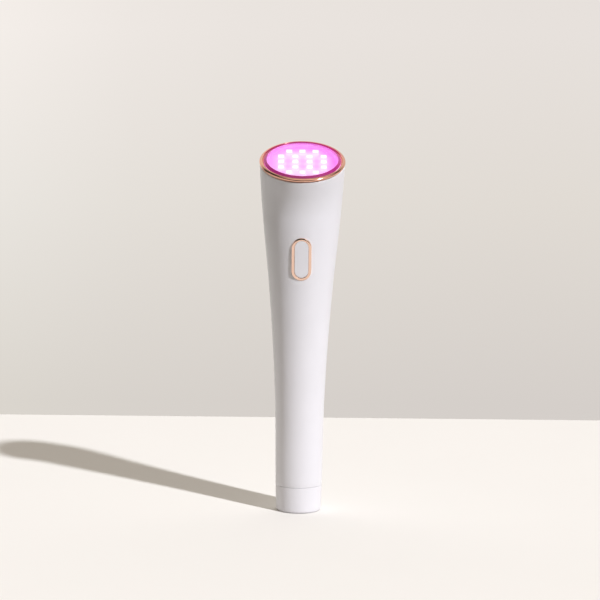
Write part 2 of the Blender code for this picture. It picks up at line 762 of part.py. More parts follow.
def make_cell():
    low = cell_bottom
    high = cell_bottom + CELL_LENGTH
    crimp = high - CELL_GROOVE_OFFSET
    profile = [(0.0, cell_top), (CELL_BUTTON_RADIUS, cell_top), (CELL_BUTTON_RADIUS, high)]
    edge = CELL_RADIUS - CELL_EDGE_ROUND
    profile += arc((edge, high - CELL_EDGE_ROUND), CELL_EDGE_ROUND, 90, 0, CELL_EDGE_STEPS)
    profile += [
        (CELL_RADIUS, crimp + CELL_GROOVE_DEPTH),
        (CELL_RADIUS - CELL_GROOVE_DEPTH, crimp),
        (CELL_RADIUS, crimp - CELL_GROOVE_DEPTH),
    ]
    profile += arc((edge, low + CELL_EDGE_ROUND), CELL_EDGE_ROUND, 0, -90, CELL_EDGE_STEPS)
    profile += [(0.0, low)]
    return shaded(turned("battery_cell", profile, cell_wrap, steps=HIDDEN_STEPS))


def make_tab(name, height, reach, fold):
    """A nickel strip across the end of the cell, its front end folded up or, below the cell, down."""
    low, high = sorted((height, height + math.copysign(TAB_THICKNESS, fold)))
    strip = box_between(
        name,
        (-TAB_WIDTH / 2, -reach, low),
        (TAB_WIDTH / 2, TAB_LENGTH - reach, high),
        nickel,
    )
    low, high = sorted((height, height + fold))
    upstand = as_cutter(
        box_between(
            name + "_upstand",
            (-TAB_WIDTH / 2, -reach, low),
            (TAB_WIDTH / 2, TAB_THICKNESS - reach, high),
            nickel,
        )
    )
    return boolean(strip, upstand, "UNION")


def make_tabs():
    """The minus tab takes a wire; the plus tab lies on the main board and is soldered to it."""
    make_tab("cell_tab_minus", cell_bottom - SEAT_GAP, CELL_RADIUS, -MINUS_TAB_FOLD)
    board_side = BOARD_FRONT_OFFSET + SOLDER_GAP + TAB_THICKNESS
    make_tab("cell_tab_plus", cell_top + SEAT_GAP, board_side, PLUS_TAB_FOLD)


# Chassis

def bulkhead_radius(height):
    """The widest disc that fits the bore at both its faces."""
    return min(bore_radius(height), bore_radius(height + BULKHEAD_THICKNESS)) - SEAT_GAP


def make_chassis():
    low = low_bulkhead_height
    inner = CELL_RADIUS + SEAT_GAP
    cradle_profile = [
        (inner + CRADLE_WALL, tray_bottom - BULKHEAD_THICKNESS / 2),
        (inner + CRADLE_WALL, low + BULKHEAD_THICKNESS / 2),
        (inner, low + BULKHEAD_THICKNESS / 2),
        (inner, tray_bottom - BULKHEAD_THICKNESS / 2),
    ]
    chassis = turned("chassis", cradle_profile, grey_plastic, steps=HIDDEN_STEPS, closed=True)
    front_half = as_cutter(
        box_between(
            "cradle_front_cutter",
            (-inner - CUT_OVERRUN, -inner - CUT_OVERRUN, low),
            (inner + CUT_OVERRUN, CELL_EDGE_ROUND, tray_bottom),
            grey_plastic,
        )
    )
    boolean(chassis, front_half)
    discs = (
        ("low_bulkhead", low, bulkhead_radius(low)),
        ("mid_bulkhead", mid_bulkhead_height, bulkhead_radius(mid_bulkhead_height)),
        ("top_bulkhead", tray_top, bulkhead_radius(tray_top)),
    )
    for name, height, radius in discs:
        top = height + BULKHEAD_THICKNESS
        disc = rod(name, radius, height, top, (0.0, 0.0), grey_plastic, steps=HIDDEN_STEPS)
        boolean(chassis, as_cutter(disc), "UNION")
    tray = box_between(
        "board_tray",
        (-BOARD_WIDTH / 2, tray_front, tray_bottom - BULKHEAD_THICKNESS / 2),
        (BOARD_WIDTH / 2, tray_back, tray_top + BULKHEAD_THICKNESS / 2),
        grey_plastic,
    )
    boolean(chassis, as_cutter(tray), "UNION")
    spine = box_between(
        "tray_spine",
        (-SPINE_THICKNESS / 2, tray_back - TRAY_THICKNESS / 2, tray_bottom - BULKHEAD_THICKNESS / 2),
        (SPINE_THICKNESS / 2, tray_back + SPINE_DEPTH, tray_top + BULKHEAD_THICKNESS / 2),
        grey_plastic,
    )
    boolean(chassis, as_cutter(spine), "UNION")
    for side, name in ((-1, "front"), (1, "back")):
        place = (0.0, side * SCREW_OFFSET)
        boss = rod(
            f"screw_boss_{name}",
            BOSS_RADIUS,
            PLUG_FLOOR_HEIGHT + SEAT_GAP,
            low + BULKHEAD_THICKNESS / 2,
            place,
            grey_plastic,
            steps=TINY_STEPS,
        )
        hole = rod(
            f"screw_pilot_{name}_cutter",
            SCREW_SHANK_RADIUS + SOLDER_GAP,
            PLUG_FLOOR_HEIGHT - CUT_OVERRUN,
            low - SEAT_GAP,
            place,
            grey_plastic,
            steps=TINY_STEPS,
        )
        boolean(chassis, as_cutter(boss), "UNION")
        boolean(chassis, as_cutter(hole))
    for name, height, radius in discs:
        notch = box_between(
            name + "_wire_notch_cutter",
            (-WIRE_NOTCH_WIDTH / 2, -radius - CUT_OVERRUN, height - CUT_OVERRUN),
            (WIRE_NOTCH_WIDTH / 2, WIRE_NOTCH_REACH - CELL_RADIUS, height + BULKHEAD_THICKNESS + CUT_OVERRUN),
            grey_plastic,
        )
        boolean(chassis, as_cutter(notch))
    return shaded(chassis)


# Main board

def make_main_board():
    box_between(
        "main_board",
        (-BOARD_WIDTH / 2, board_front, board_bottom),
        (BOARD_WIDTH / 2, board_back, board_bottom + BOARD_LENGTH),
        board_green,
    )
    face = board_front - SOLDER_GAP
    for name, size, share in (
        ("driver_chip", DRIVER_CHIP_SIZE, DRIVER_CHIP_SHARE),
        ("charge_chip", CHARGE_CHIP_SIZE, CHARGE_CHIP_SHARE),
    ):
        centre = (0.0, face - size[1] / 2, board_place(share))
        box(name, size, centre, black_plastic, edge=CHIP_EDGE)
    lip = INDUCTOR_LIP
    waist = INDUCTOR_RADIUS - INDUCTOR_WAIST
    profile = [
        (0.0, INDUCTOR_HEIGHT),
        (INDUCTOR_RADIUS, INDUCTOR_HEIGHT),
        (INDUCTOR_RADIUS, INDUCTOR_HEIGHT - lip),
        (waist, INDUCTOR_HEIGHT - lip),
        (waist, lip),
        (INDUCTOR_RADIUS, lip),
        (INDUCTOR_RADIUS, 0.0),
        (0.0, 0.0),
    ]
    inductor = turned("inductor", profile, ferrite, steps=SMALL_STEPS)
    inductor.location = (INDUCTOR_SIDE, face, board_place(INDUCTOR_SHARE))
    inductor.rotation_euler = (math.pi / 2, 0.0, 0.0)
    shaded(inductor)
    profile = [
        (0.0, CAPACITOR_HEIGHT),
        (CAPACITOR_RADIUS - CHIP_EDGE, CAPACITOR_HEIGHT),
        (CAPACITOR_RADIUS, CAPACITOR_HEIGHT - CHIP_EDGE),
        (CAPACITOR_RADIUS, CAPACITOR_BASE + CHIP_EDGE),
        (CAPACITOR_RADIUS - CHIP_EDGE, CAPACITOR_BASE),
        (CAPACITOR_RADIUS, CAPACITOR_BASE - CHIP_EDGE),
        (CAPACITOR_RADIUS, 0.0),
        (0.0, 0.0),
    ]
    capacitor = turned("capacitor", profile, steel, steps=SMALL_STEPS)
    capacitor.location = (-CAPACITOR_SIDE, face, board_place(INDUCTOR_SHARE))
    capacitor.rotation_euler = (math.pi / 2, 0.0, 0.0)
    shaded(capacitor)


def switch_height():
    """Height of the switch's centre: where the button's post, square to the sloping side, meets it."""
    return BUTTON_HEIGHT + (body_radius(BUTTON_HEIGHT) - plunger_tip()) * math.tan(button_flare)


def plunger_tip():
    """Distance of the plunger's tip from the body's axis."""
    return BOARD_FRONT_OFFSET + SOLDER_GAP + SWITCH_HEIGHT + PLUNGER_REACH


def board_place(share):
    """Height of a place on the main board's front, between the board's foot and the switch."""
    return board_bottom + share * (switch_height() - SWITCH_SIZE / 2 - board_bottom)


def make_switch():
    face = board_front - SOLDER_GAP
    height = switch_height()
    body = box(
        "switch_body",
        (SWITCH_SIZE, SWITCH_HEIGHT, SWITCH_SIZE),
        (0.0, face - SWITCH_HEIGHT / 2, height),
        black_plastic,
        edge=SWITCH_EDGE,
    )
    depth = PLUNGER_INSIDE + BUTTON_TRAVEL + SEAT_GAP
    well = rod(
        "switch_well_cutter",
        PLUNGER_RADIUS + SEAT_GAP,
        SWITCH_HEIGHT - depth,
        SWITCH_HEIGHT + CUT_OVERRUN,
        (0.0, 0.0),
        black_plastic,
    )
    well.location = (0.0, face, height)
    well.rotation_euler = (math.pi / 2, 0.0, 0.0)
    shaded(boolean(body, as_cutter(well)))
    tip = SWITCH_HEIGHT + PLUNGER_REACH
    profile = [
        (0.0, tip),
        (PLUNGER_RADIUS - PLUNGER_EDGE, tip),
        (PLUNGER_RADIUS, tip - PLUNGER_EDGE),
        (PLUNGER_RADIUS, SWITCH_HEIGHT - PLUNGER_INSIDE),
        (0.0, SWITCH_HEIGHT - PLUNGER_INSIDE),
    ]
    plunger = turned("switch_plunger", profile, rubber, steps=SMALL_STEPS)
    plunger.location = (0.0, face, height)
    plunger.rotation_euler = (math.pi / 2, 0.0, 0.0)
    shaded(plunger)


# Button and rim

def make_button_rim():
    outer = pill_points(RIM_RING_WIDTH, RIM_RING_LENGTH)
    inner = pill_points(RIM_RING_WIDTH - 2 * RIM_RING_BAND, RIM_RING_LENGTH - 2 * RIM_RING_BAND)
    rim = outline_solid("button_rim", [outer, inner], -RIM_RING_SEAT, RIM_RING_PROUD, rose_gold, button_frame)
    top = RIM_RING_PROUD - MERGE_DISTANCE
    round_edges(rim, RIM_RING_BAND * RIM_RING_ROUND_SHARE, ROUNDING_SEGMENTS, lambda x, y, z: z > top)
    envelope = as_cutter(
        turned(
            "body_envelope",
            [(0.0, SHOULDER_HEIGHT + RIM_RING_LENGTH)]
            + side_points(
                BUTTON_HEIGHT - RIM_RING_LENGTH, SHOULDER_HEIGHT + RIM_RING_LENGTH, BODY_STEPS, -SOLDER_GAP
            )
            + [(0.0, BUTTON_HEIGHT - RIM_RING_LENGTH)],
            white_shell,
        )
    )
    boolean(rim, envelope)
    width, length = skirt_outline(0.0)
    skirt = outline_solid(
        "button_rim_skirt",
        [pill_points(width, length), pill_points(width - 2 * RIM_SKIRT_WALL, length - 2 * RIM_SKIRT_WALL)],
        -RIM_SKIRT_DEPTH,
        SEAM_GAP,
        rose_gold,
        button_frame,
    )
    boolean(rim, as_cutter(skirt), "UNION")
    return shaded(rim)


def make_button_cap():
    width = RIM_RING_WIDTH - 2 * (RIM_RING_BAND + BUTTON_SIDE_GAP)
    length = RIM_RING_LENGTH - 2 * (RIM_RING_BAND + BUTTON_SIDE_GAP)
    flange_top = -RIM_SKIRT_DEPTH - SEAT_GAP
    flange_low = flange_top - BUTTON_FLANGE_THICKNESS
    cap = outline_solid(
        "button_cap",
        [pill_points(width, length)],
        flange_top - BUTTON_FLANGE_THICKNESS / 2,
        BUTTON_PROUD,
        white_shell,
        button_frame,
    )
    top = BUTTON_PROUD - MERGE_DISTANCE
    round_edges(cap, BUTTON_EDGE_ROUND, ROUNDING_SEGMENTS, lambda x, y, z: z > top)
    flange = outline_solid(
        "button_flange",
        [pill_points(width + 2 * BUTTON_FLANGE_WIDTH, length + 2 * BUTTON_FLANGE_WIDTH)],
        flange_low,
        flange_top,
        white_shell,
        button_frame,
    )
    boolean(cap, as_cutter(flange), "UNION")
    reach = (body_radius(BUTTON_HEIGHT) - plunger_tip()) / math.cos(button_flare) - SEAT_GAP
    post = rod(
        "button_post",
        BUTTON_POST_RADIUS,
        -reach,
        flange_low + BUTTON_FLANGE_THICKNESS / 2,
        (0.0, 0.0),
        white_shell,
        button_frame,
        steps=TINY_STEPS,
    )
    boolean(cap, as_cutter(post), "UNION")
    return shaded(cap)


# Light head

def ring_bore():
    """Radius of the ring's opening below its ledge."""
    return ring_inner_radius - RING_LEDGE_WIDTH


def make_head_ring():
    """A rounded band over the housing's rim, and a skirt in its rebate whose top is the lens's ledge."""
    skirt = rim_rebate_radius() - SEAT_GAP
    skirt_low = SEAT_GAP - RIM_REBATE_DEPTH
    low = SEAM_GAP
    bulge = (RING_CREST_HEIGHT - low) / 2
    crest = ring_radius - RING_SHOULDER_WIDTH
    profile = [
        (ring_inner_radius, RING_LEDGE_HEIGHT),
        (ring_inner_radius, RING_INNER_EDGE_HEIGHT),
    ]
    for angle in np.radians(np.linspace(90.0, -50.0, RING_BULGE_STEPS + 1)):
        height = low + bulge + bulge * math.sin(angle)
        profile.append((crest + RING_SHOULDER_WIDTH * math.cos(angle), height))
    profile += [
        (RIM_RADIUS - RIM_EDGE_ROUND, low),
        (skirt, low),
        (skirt, skirt_low),
        (ring_bore(), skirt_low),
        (ring_bore(), RING_LEDGE_HEIGHT),
    ]
    return shaded(turned("head_ring", profile, rose_gold, head_frame, closed=True))


def make_lens():
    profile = [
        (0.0, LENS_FACE_HEIGHT),
        (lens_radius - LENS_BEVEL_WIDTH, LENS_FACE_HEIGHT),
        (lens_radius, LENS_FACE_HEIGHT - LENS_BEVEL_DROP),
        (lens_radius, lens_under),
        (0.0, lens_under),
    ]
    return shaded(turned("lens", profile, clear_lens, head_frame))


def make_gasket():
    """The foam adhesive ring between the lens and the ring's ledge."""
    inner = lens_radius - GASKET_WIDTH
    profile = [
        (lens_radius, gasket_top),
        (lens_radius, gasket_top - GASKET_THICKNESS),
        (inner, gasket_top - GASKET_THICKNESS),
        (inner, gasket_top),
    ]
    return turned("lens_gasket", profile, rubber, head_frame, HIDDEN_STEPS, closed=True)


def reflector_outer():
    return ring_bore() - SEAM_GAP


def make_reflector():
    outer = reflector_outer()
    low = led_board_top + SEAM_GAP
    high = lens_under - SEAM_GAP
    top_inner = outer - REFLECTOR_WALL
    profile = [(outer, high), (outer, low), (top_inner - REFLECTOR_DRAFT, low), (top_inner, high)]
    return turned("reflector_wall", profile, reflector_white, head_frame, HIDDEN_STEPS, closed=True)


def make_led_board():
    radius = reflector_outer()
    board = rod(
        "led_board", radius, led_board_under, led_board_top, (0.0, 0.0), board_white, head_frame, HIDDEN_STEPS
    )
    for side, name in ((-1, "left"), (1, "right")):
        hole = rod(
            f"led_board_wire_hole_{name}_cutter",
            LED_BOARD_HOLE_RADIUS,
            led_board_under - CUT_OVERRUN,
            led_board_top + CUT_OVERRUN,
            (side * WIRE_SPACING / 2, led_row_pitch() / 2),
            board_white,
            head_frame,
            TINY_STEPS,
        )
        boolean(board, as_cutter(hole))
    return shaded(board)


def led_row_pitch():
    return LED_ROW_PITCH_SHARE * reflector_outer()


def led_places():
    """Centres of the LEDs: end rows of three about middle rows of four."""
    end_row = LED_END_ROW_SHARE * reflector_outer()
    end_pitch = LED_END_COLUMN_PITCH_SHARE * reflector_outer()
    pitch = LED_COLUMN_PITCH_SHARE * reflector_outer()
    rows = [(end_row, 3, end_pitch)]
    rows += [(row * led_row_pitch(), 4, pitch) for row in (1, 0, -1)]
    rows += [(-end_row, 3, end_pitch)]
    return [((i - (count - 1) / 2) * step, y) for y, count, step in rows for i in range(count)]


def make_leds():
    for number, (x, y) in enumerate(led_places(), start=1):
        name = f"led_{number:02d}"
        led = box_between(
            name,
            (-LED_WIDTH / 2, -LED_LENGTH / 2, led_seat),
            (LED_WIDTH / 2, LED_LENGTH / 2, led_top),
            led_white,
            head_frame,
        )
        led.location = (x, y, 0.0)
        cup = turned(
            f"{name}_cup_cutter",
            [
                (0.0, led_top + LED_CUP_DEPTH),
                (LED_CUP_RADIUS + LED_CUP_DRAFT, led_top + LED_CUP_DEPTH),
                (LED_CUP_RADIUS - LED_CUP_DRAFT, led_top - LED_CUP_DEPTH),
                (0.0, led_top - LED_CUP_DEPTH),
            ],
            led_white,
            head_frame,
            steps=LED_CUP_STEPS,
        )
        cup.location = (x, y, 0.0)
        shaded(boolean(led, as_cutter(cup)))


def carrier_floor_top():
    return led_board_under - SEAT_GAP


def make_head_carrier():
    """The moulded cup behind the lamp board, with a skirt that stiffens its wire hole."""
    shoulder = -RIM_REBATE_DEPTH
    recess = reflector_outer() + SEAM_GAP
    floor = carrier_floor_top()
    under = floor - CARRIER_FLOOR
    hole = CARRIER_WIRE_HOLE_RADIUS
    profile = [
        (bore_radius(BODY_LENGTH + shoulder) - SEAT_GAP, shoulder),
        (bore_radius(BODY_LENGTH + under) - SEAT_GAP, under),
        (hole + CARRIER_SKIRT_WALL, under),
        (hole + CARRIER_SKIRT_WALL, under - CARRIER_SKIRT_DEPTH),
        (hole, under - CARRIER_SKIRT_DEPTH),
        (hole, floor),
        (recess, floor),
        (recess, shoulder),
    ]
    return shaded(turned("head_carrier", profile, grey_plastic, head_frame, HIDDEN_STEPS, closed=True))


# Wires

def make_wires():
    clear = bore_radius(low_bulkhead_height) - WIRE_RADIUS - WIRE_WALL_GAP
    side = CHARGE_WIRE_SPACING / 2
    front = -math.sqrt(clear**2 - side**2)
    board_foot = board_place(CHARGE_PAD_SHARE)
    board_head = board_bottom + BOARD_LENGTH - WIRE_SPACING / 2
    pad = board_front - WIRE_END_GAP - WIRE_RADIUS
    socket_top = socket_board_bottom() + SOCKET_BOARD_LENGTH
    head = np.array(Matrix.Translation(head_centre) @ Matrix.Rotation(HEAD_TILT, 4, "X"))
    for sign, colour, ink in ((-1, "plus", red_wire), (1, "minus", black_wire)):
        x = sign * side
        wire(
            f"charge_wire_{colour}",
            [
                (x, socket_board_front() - WIRE_END_GAP - WIRE_RADIUS, socket_top - WIRE_SPACING),
                (x, front / 2, socket_top - WIRE_SPACING / 2),
                (x, front, low_bulkhead_height - WIRE_RADIUS),
                (x, front, cell_bottom),
                (x, front, cell_bottom + CELL_LENGTH / 2),
                (x, front, mid_bulkhead_height),
                (x, pad, board_foot),
            ],
            ink,
        )
        x = sign * WIRE_SPACING / 2
        lamp = head @ np.array([x, led_row_pitch() / 2, led_board_under - WIRE_END_GAP, 1.0])
        below = head @ np.array([x, 0.0, carrier_floor_top() - 4 * WIRE_SPACING, 1.0])
        notch = -CELL_RADIUS - TAB_THICKNESS
        wire(
            f"lamp_wire_{colour}",
            [
                (2 * x, pad, board_head),
                (2 * x, notch, tray_top - WIRE_SPACING),
                (2 * x, notch, tray_top + BULKHEAD_THICKNESS + WIRE_SPACING),
                below[:3],
                lamp[:3],
            ],
            ink,
        )
    tab_side = -CELL_RADIUS - WIRE_END_GAP - WIRE_RADIUS
    wire(
        "cell_wire_minus",
        [
            (0.0, tab_side, low_bulkhead_height),
            (0.0, -clear, cell_bottom),
            (0.0, -clear, cell_bottom + CELL_LENGTH / 2),
            (0.0, -clear, mid_bulkhead_height),
            (0.0, pad, board_place(CELL_PAD_SHARE)),
        ],
        black_wire,
    )


# Everything

make_housing()
make_base_cap()
make_end_plug()
make_o_ring()
make_socket()
make_plug_screws()
make_cell()
make_tabs()
make_chassis()
make_main_board()
make_switch()
make_button_rim()
make_button_cap()
make_head_ring()
make_lens()
make_gasket()
make_reflector()
make_led_board()
make_leds()
make_head_carrier()
make_wires()
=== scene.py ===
# %% [markdown]
# # A red light therapy wand
# The wand is a slim white handle that flares up to a round lamp head. Eighteen small lamps sit behind a
# clear round window in a rose-gold ring, a pill-shaped push button sits in a matching rim on the front,
# and the foot pulls off to uncover a charging socket.
#
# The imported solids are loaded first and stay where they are. Each cell after that makes one visible piece
# as a surface worked out with numpy, or one finish from shader nodes, and fits it over the solid it
# stands for.

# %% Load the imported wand
import json
import math

import bmesh
import bpy
import numpy as np
from mathutils import Matrix, Vector


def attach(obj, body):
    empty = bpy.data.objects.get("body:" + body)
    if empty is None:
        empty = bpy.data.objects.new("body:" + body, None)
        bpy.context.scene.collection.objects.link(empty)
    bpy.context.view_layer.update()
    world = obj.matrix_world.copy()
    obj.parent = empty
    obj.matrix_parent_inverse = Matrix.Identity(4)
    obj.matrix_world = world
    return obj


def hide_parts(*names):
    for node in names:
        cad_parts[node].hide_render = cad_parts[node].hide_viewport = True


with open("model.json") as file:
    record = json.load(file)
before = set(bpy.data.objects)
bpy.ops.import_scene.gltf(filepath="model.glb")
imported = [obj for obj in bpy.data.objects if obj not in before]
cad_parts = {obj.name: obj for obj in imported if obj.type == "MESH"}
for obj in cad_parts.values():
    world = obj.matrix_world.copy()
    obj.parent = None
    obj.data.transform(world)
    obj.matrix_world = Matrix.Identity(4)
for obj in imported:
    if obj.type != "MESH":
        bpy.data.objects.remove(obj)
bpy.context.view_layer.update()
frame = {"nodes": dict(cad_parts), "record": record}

MM = 0.001

# %% [markdown]
# ## The handle's outline
# The handle is a turned form: a round foot, a slim waist and a shoulder that swells to the head. Four
# measured stations are enough for it when a smooth cubic joins them, because each cubic meets the radius
# and the flare at both of its ends. A chain of straight cones would show rings of light at every joint.

# %% Radius along the centre line
STATION_HEIGHTS = np.array([0.0, 55.0, 118.0, 157.5])
STATION_RADII = np.array([10.0, 11.2, 15.8, 18.75])
STATION_FLARES = np.array([0.040, 0.045, 0.106, 0.028])
BODY_LENGTH = STATION_HEIGHTS[-1]
RIM_RADIUS = STATION_RADII[-1]


def body_radius(s):
    """Outer radius in mm at a length s along the centre line. With u running from 0 to 1 between two
    stations, it is the sum of both radii and both flares, each times its Hermite cubic in u."""
    s = np.asarray(s, float)
    i = np.clip(np.searchsorted(STATION_HEIGHTS, s, side="right") - 1, 0, len(STATION_RADII) - 2)
    span = STATION_HEIGHTS[i + 1] - STATION_HEIGHTS[i]
    u = (s - STATION_HEIGHTS[i]) / span
    start = STATION_RADII[i] * (2 * u**3 - 3 * u**2 + 1) + STATION_FLARES[i] * span * (u**3 - 2 * u**2 + u)
    end = STATION_RADII[i + 1] * (3 * u**2 - 2 * u**3) + STATION_FLARES[i + 1] * span * (u**3 - u**2)
    return start + end


halfway = (STATION_HEIGHTS[1:] + STATION_HEIGHTS[:-1]) / 2
print("radius halfway between the stations:", body_radius(halfway).round(3))

# %% [markdown]
# ## The lean of the head
# The head leans 20 degrees towards the user. The straight turned form is bent once near its top: below
# the bend nothing moves, inside it each cross-section turns about a far centre, and above it the section
# keeps the full lean. Bending the finished points keeps every wall its own thickness.

# %% Bend the straight form
HEAD_TILT = math.radians(20.0)
COLLAR_LENGTH = 6.0
BEND_LENGTH = 16.5
BEND_START = BODY_LENGTH - COLLAR_LENGTH - BEND_LENGTH
BEND_RADIUS = BEND_LENGTH / HEAD_TILT


def bent(x, y, s):
    """Points of the straight form carried onto the leaning centre line. The angle grows evenly from 0 to
    the tilt over the bend; a point is its section's centre on that arc, plus y along the turned section."""
    x, y, s = np.broadcast_arrays(x, y, s)
    angle = np.clip((s - BEND_START) / BEND_RADIUS, 0.0, HEAD_TILT)
    beyond = np.maximum(s - BEND_START - BEND_LENGTH, 0.0)
    forwards = BEND_RADIUS * (1 - np.cos(angle)) + beyond * np.sin(angle)
    upwards = np.minimum(s, BEND_START) + BEND_RADIUS * np.sin(angle) + beyond * np.cos(angle)
    return np.stack([x, y * np.cos(angle) - forwards, upwards + y * np.sin(angle)], axis=-1)


head_centre = bent(0.0, 0.0, BODY_LENGTH)
print("centre of the rim, mm:", head_centre.round(3))

# %% [markdown]
# ## Rings stacked into a skin
# Every piece of the wand can be told as a stack of closed rings: circles for turned pieces, pill outlines
# for the button. One function joins neighbouring rings with quads, so each piece only has to say where
# its rings lie. Rings that shrink to a point or a line are welded afterwards, which closes the poles.

# %% Skin, weld and place a piece
SMOOTH_BELOW = math.radians(32.0)
WELD = 1e-7


def ring_quads(rows, columns, closed):
    """Quads between neighbouring rows of a grid whose columns wrap round. Row i meets row i + 1, and
    the last row meets the first one too when the stack is closed."""
    index = np.arange(rows * columns).reshape(rows, columns)
    above = np.roll(index, -1, axis=0)
    if not closed:
        index, above = index[:-1], above[:-1]
    quads = np.stack([index, np.roll(index, -1, axis=1), np.roll(above, -1, axis=1), above], axis=-1)
    return quads.reshape(-1, 4)


def let_ride(name, mesh, body, nodes):
    """Shades a mesh smooth but for its sharp edges, and makes it a piece that rides on a body and stands
    for the solids in nodes."""
    mesh.shade_smooth()
    mesh.set_sharp_from_angle(angle=SMOOTH_BELOW)
    piece = bpy.data.objects.new(name, mesh)
    bpy.context.scene.collection.objects.link(piece)
    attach(piece, body)
    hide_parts(*nodes)
    return piece


def lay_piece(name, points, quads, finish, body, nodes):
    """Puts points (in mm) and quads into a welded mesh with its faces outwards, and lets it ride."""
    used, quads = np.unique(quads, return_inverse=True)
    mesh = bpy.data.meshes.new(name)
    mesh.from_pydata((points.reshape(-1, 3)[used] * MM).tolist(), [], quads.reshape(-1, 4).tolist())
    finishes = finish if isinstance(finish, (list, tuple)) else [finish]
    for material in finishes:
        mesh.materials.append(material)
    shape = bmesh.new()
    shape.from_mesh(mesh)
    bmesh.ops.remove_doubles(shape, verts=shape.verts, dist=WELD)
    bmesh.ops.dissolve_degenerate(shape, edges=shape.edges, dist=WELD)
    bmesh.ops.recalc_face_normals(shape, faces=shape.faces)
    open_edges = sum(not edge.is_manifold for edge in shape.edges)
    shape.to_mesh(mesh)
    shape.free()
    print(f"{name}: {len(mesh.polygons)} faces, {open_edges} open edges")
    return let_ride(name, mesh, body, nodes)


print("quads in a stack of 3 rings of 8 points:", len(ring_quads(3, 8, False)))

# %% [markdown]
# ## Profiles with rounded corners
# Moulded and turned parts never end in a knife edge: a tool leaves a small radius on every corner. A
# profile is written as its sharp corners, each with its own radius, and the arcs are worked out, so a
# dimension stays readable and an edge radius can be changed alone.

# %% Round the corners of a profile
CORNER_STEPS = 5


def rounded(corners):
    """Corners are rows of radius, height and corner radius, and the last one joins the first. Each corner
    becomes an arc that touches both of its sides; the arc's points blend its two spokes by the sines of
    the angles left and passed, over the sine of the whole swing."""
    corners = np.asarray(corners, float)
    points = []
    for k, (radius, height, edge) in enumerate(corners):
        corner = np.array([radius, height])
        if edge == 0.0:
            points.append(corner[None])
            continue
        before = corners[k - 1, :2] - corner
        after = corners[(k + 1) % len(corners), :2] - corner
        before /= np.linalg.norm(before)
        after /= np.linalg.norm(after)
        half = math.acos(np.clip(before @ after, -1.0, 1.0)) / 2
        bisector = (before + after) / np.linalg.norm(before + after)
        centre = corner + bisector * edge / math.sin(half)
        spokes = [corner + side * edge / math.tan(half) - centre for side in (before, after)]
        swing = math.pi - 2 * half
        u = np.linspace(0.0, 1.0, CORNER_STEPS + 1)[:, None]
        arc = (np.sin((1 - u) * swing) * spokes[0] + np.sin(u * swing) * spokes[1]) / math.sin(swing)
        points.append(centre + arc)
    return np.concatenate(points)


square = rounded([(0.0, 0.0, 0.2), (1.0, 0.0, 0.2), (1.0, 1.0, 0.2), (0.0, 1.0, 0.0)])
print("points of a square with three round corners:", len(square))

# %% [markdown]
# ## Turning a profile
# Turned parts are one profile swept round an axis. The handle's parts turn about the upright centre line,
# and the parts of the lamp head turn about the leaning axis of the rim, so that a height on the head is
# always a distance above the rim. The same lean, taken backwards, tells where a finished point lies on
# the head, which is how faces and points are picked there later.

# %% Turn profiles about the handle and the head
def circle(columns):
    return np.linspace(0.0, 2 * math.pi, columns, endpoint=False)


def quarter_turn(steps):
    return np.linspace(0.0, math.pi / 2, steps + 1)


def turned(profile, columns):
    """Points of a profile turned about the upright centre line, the first column at the front."""
    turn = circle(columns)
    x = profile[:, :1] * np.sin(turn)
    y = -profile[:, :1] * np.cos(turn)
    return np.stack(np.broadcast_arrays(x, y, profile[:, 1:]), axis=-1)


def on_head(radius, turn, height):
    """Points of the head: radius and turn about its tilted axis, and height above the handle's rim."""
    radius, turn, height = np.broadcast_arrays(radius, turn, height)
    x = radius * np.sin(turn)
    y = -radius * np.cos(turn)
    lean = np.array([[1.0, 0.0, 0.0], [0.0, math.cos(HEAD_TILT), math.sin(HEAD_TILT)]])
    axis = np.array([0.0, -math.sin(HEAD_TILT), math.cos(HEAD_TILT)])
    return head_centre + x[..., None] * lean[0] + y[..., None] * lean[1] + height[..., None] * axis


def in_head_frame(piece, of_faces=False):
    """Across, along and up in mm from the rim's centre, one row for each point or each face centre."""
    items, key = (piece.data.polygons, "center") if of_faces else (piece.data.vertices, "co")
    flat = np.empty(len(items) * 3, np.float32)
    items.foreach_get(key, flat)
    local = flat.reshape(-1, 3) / MM - head_centre
    along = local[:, 1] * math.cos(HEAD_TILT) + local[:, 2] * math.sin(HEAD_TILT)
    up = local[:, 2] * math.cos(HEAD_TILT) - local[:, 1] * math.sin(HEAD_TILT)
    return local[:, 0], along, up


def store(piece, name, values):
    """Keeps one number a point on the mesh, where a finish can read it."""
    piece.data.attributes.new(name, "FLOAT", "POINT").data.foreach_set("value", values.astype(np.float32))


def turned_on_head(name, profile, columns, finish, node, closed=True):
    """A profile turned about the head's tilted axis."""
    points = on_head(profile[:, :1], circle(columns)[None, :], profile[:, 1:])
    quads = ring_quads(len(profile), columns, closed)
    return lay_piece(name, points, quads, finish, "wand_body", [node])


print("10 mm above the rim's centre:", on_head(0.0, 0.0, 10.0).round(3))

# %% [markdown]
# ## Shader nodes by hand
# A finish is a Principled shader whose colour, roughness and bump are fed by noise. Noise is measured in
# mm on the object, so that a grain has the size of the real one and turns with the piece. These short
# helpers lay one node each and take either a number or another node's output.

# %% Helpers for finishes
def lay_node(material, kind, inputs, **settings):
    """Adds a node. Inputs are numbers, colours or other nodes' outputs, by socket name."""
    made = material.node_tree.nodes.new(kind)
    for key, value in settings.items():
        setattr(made, key, value)
    for key, value in inputs.items():
        if isinstance(value, bpy.types.NodeSocket):
            material.node_tree.links.new(value, made.inputs[key])
        else:
            made.inputs[key].default_value = value
    return made


def new_finish(name, **sockets):
    """A Principled material. Each keyword is a socket's name with _ for a space."""
    material = bpy.data.materials.new(name)
    material.use_nodes = True
    shader = material.node_tree.nodes["Principled BSDF"]
    for key, value in sockets.items():
        shader.inputs[key.replace("_", " ")].default_value = value
    return material


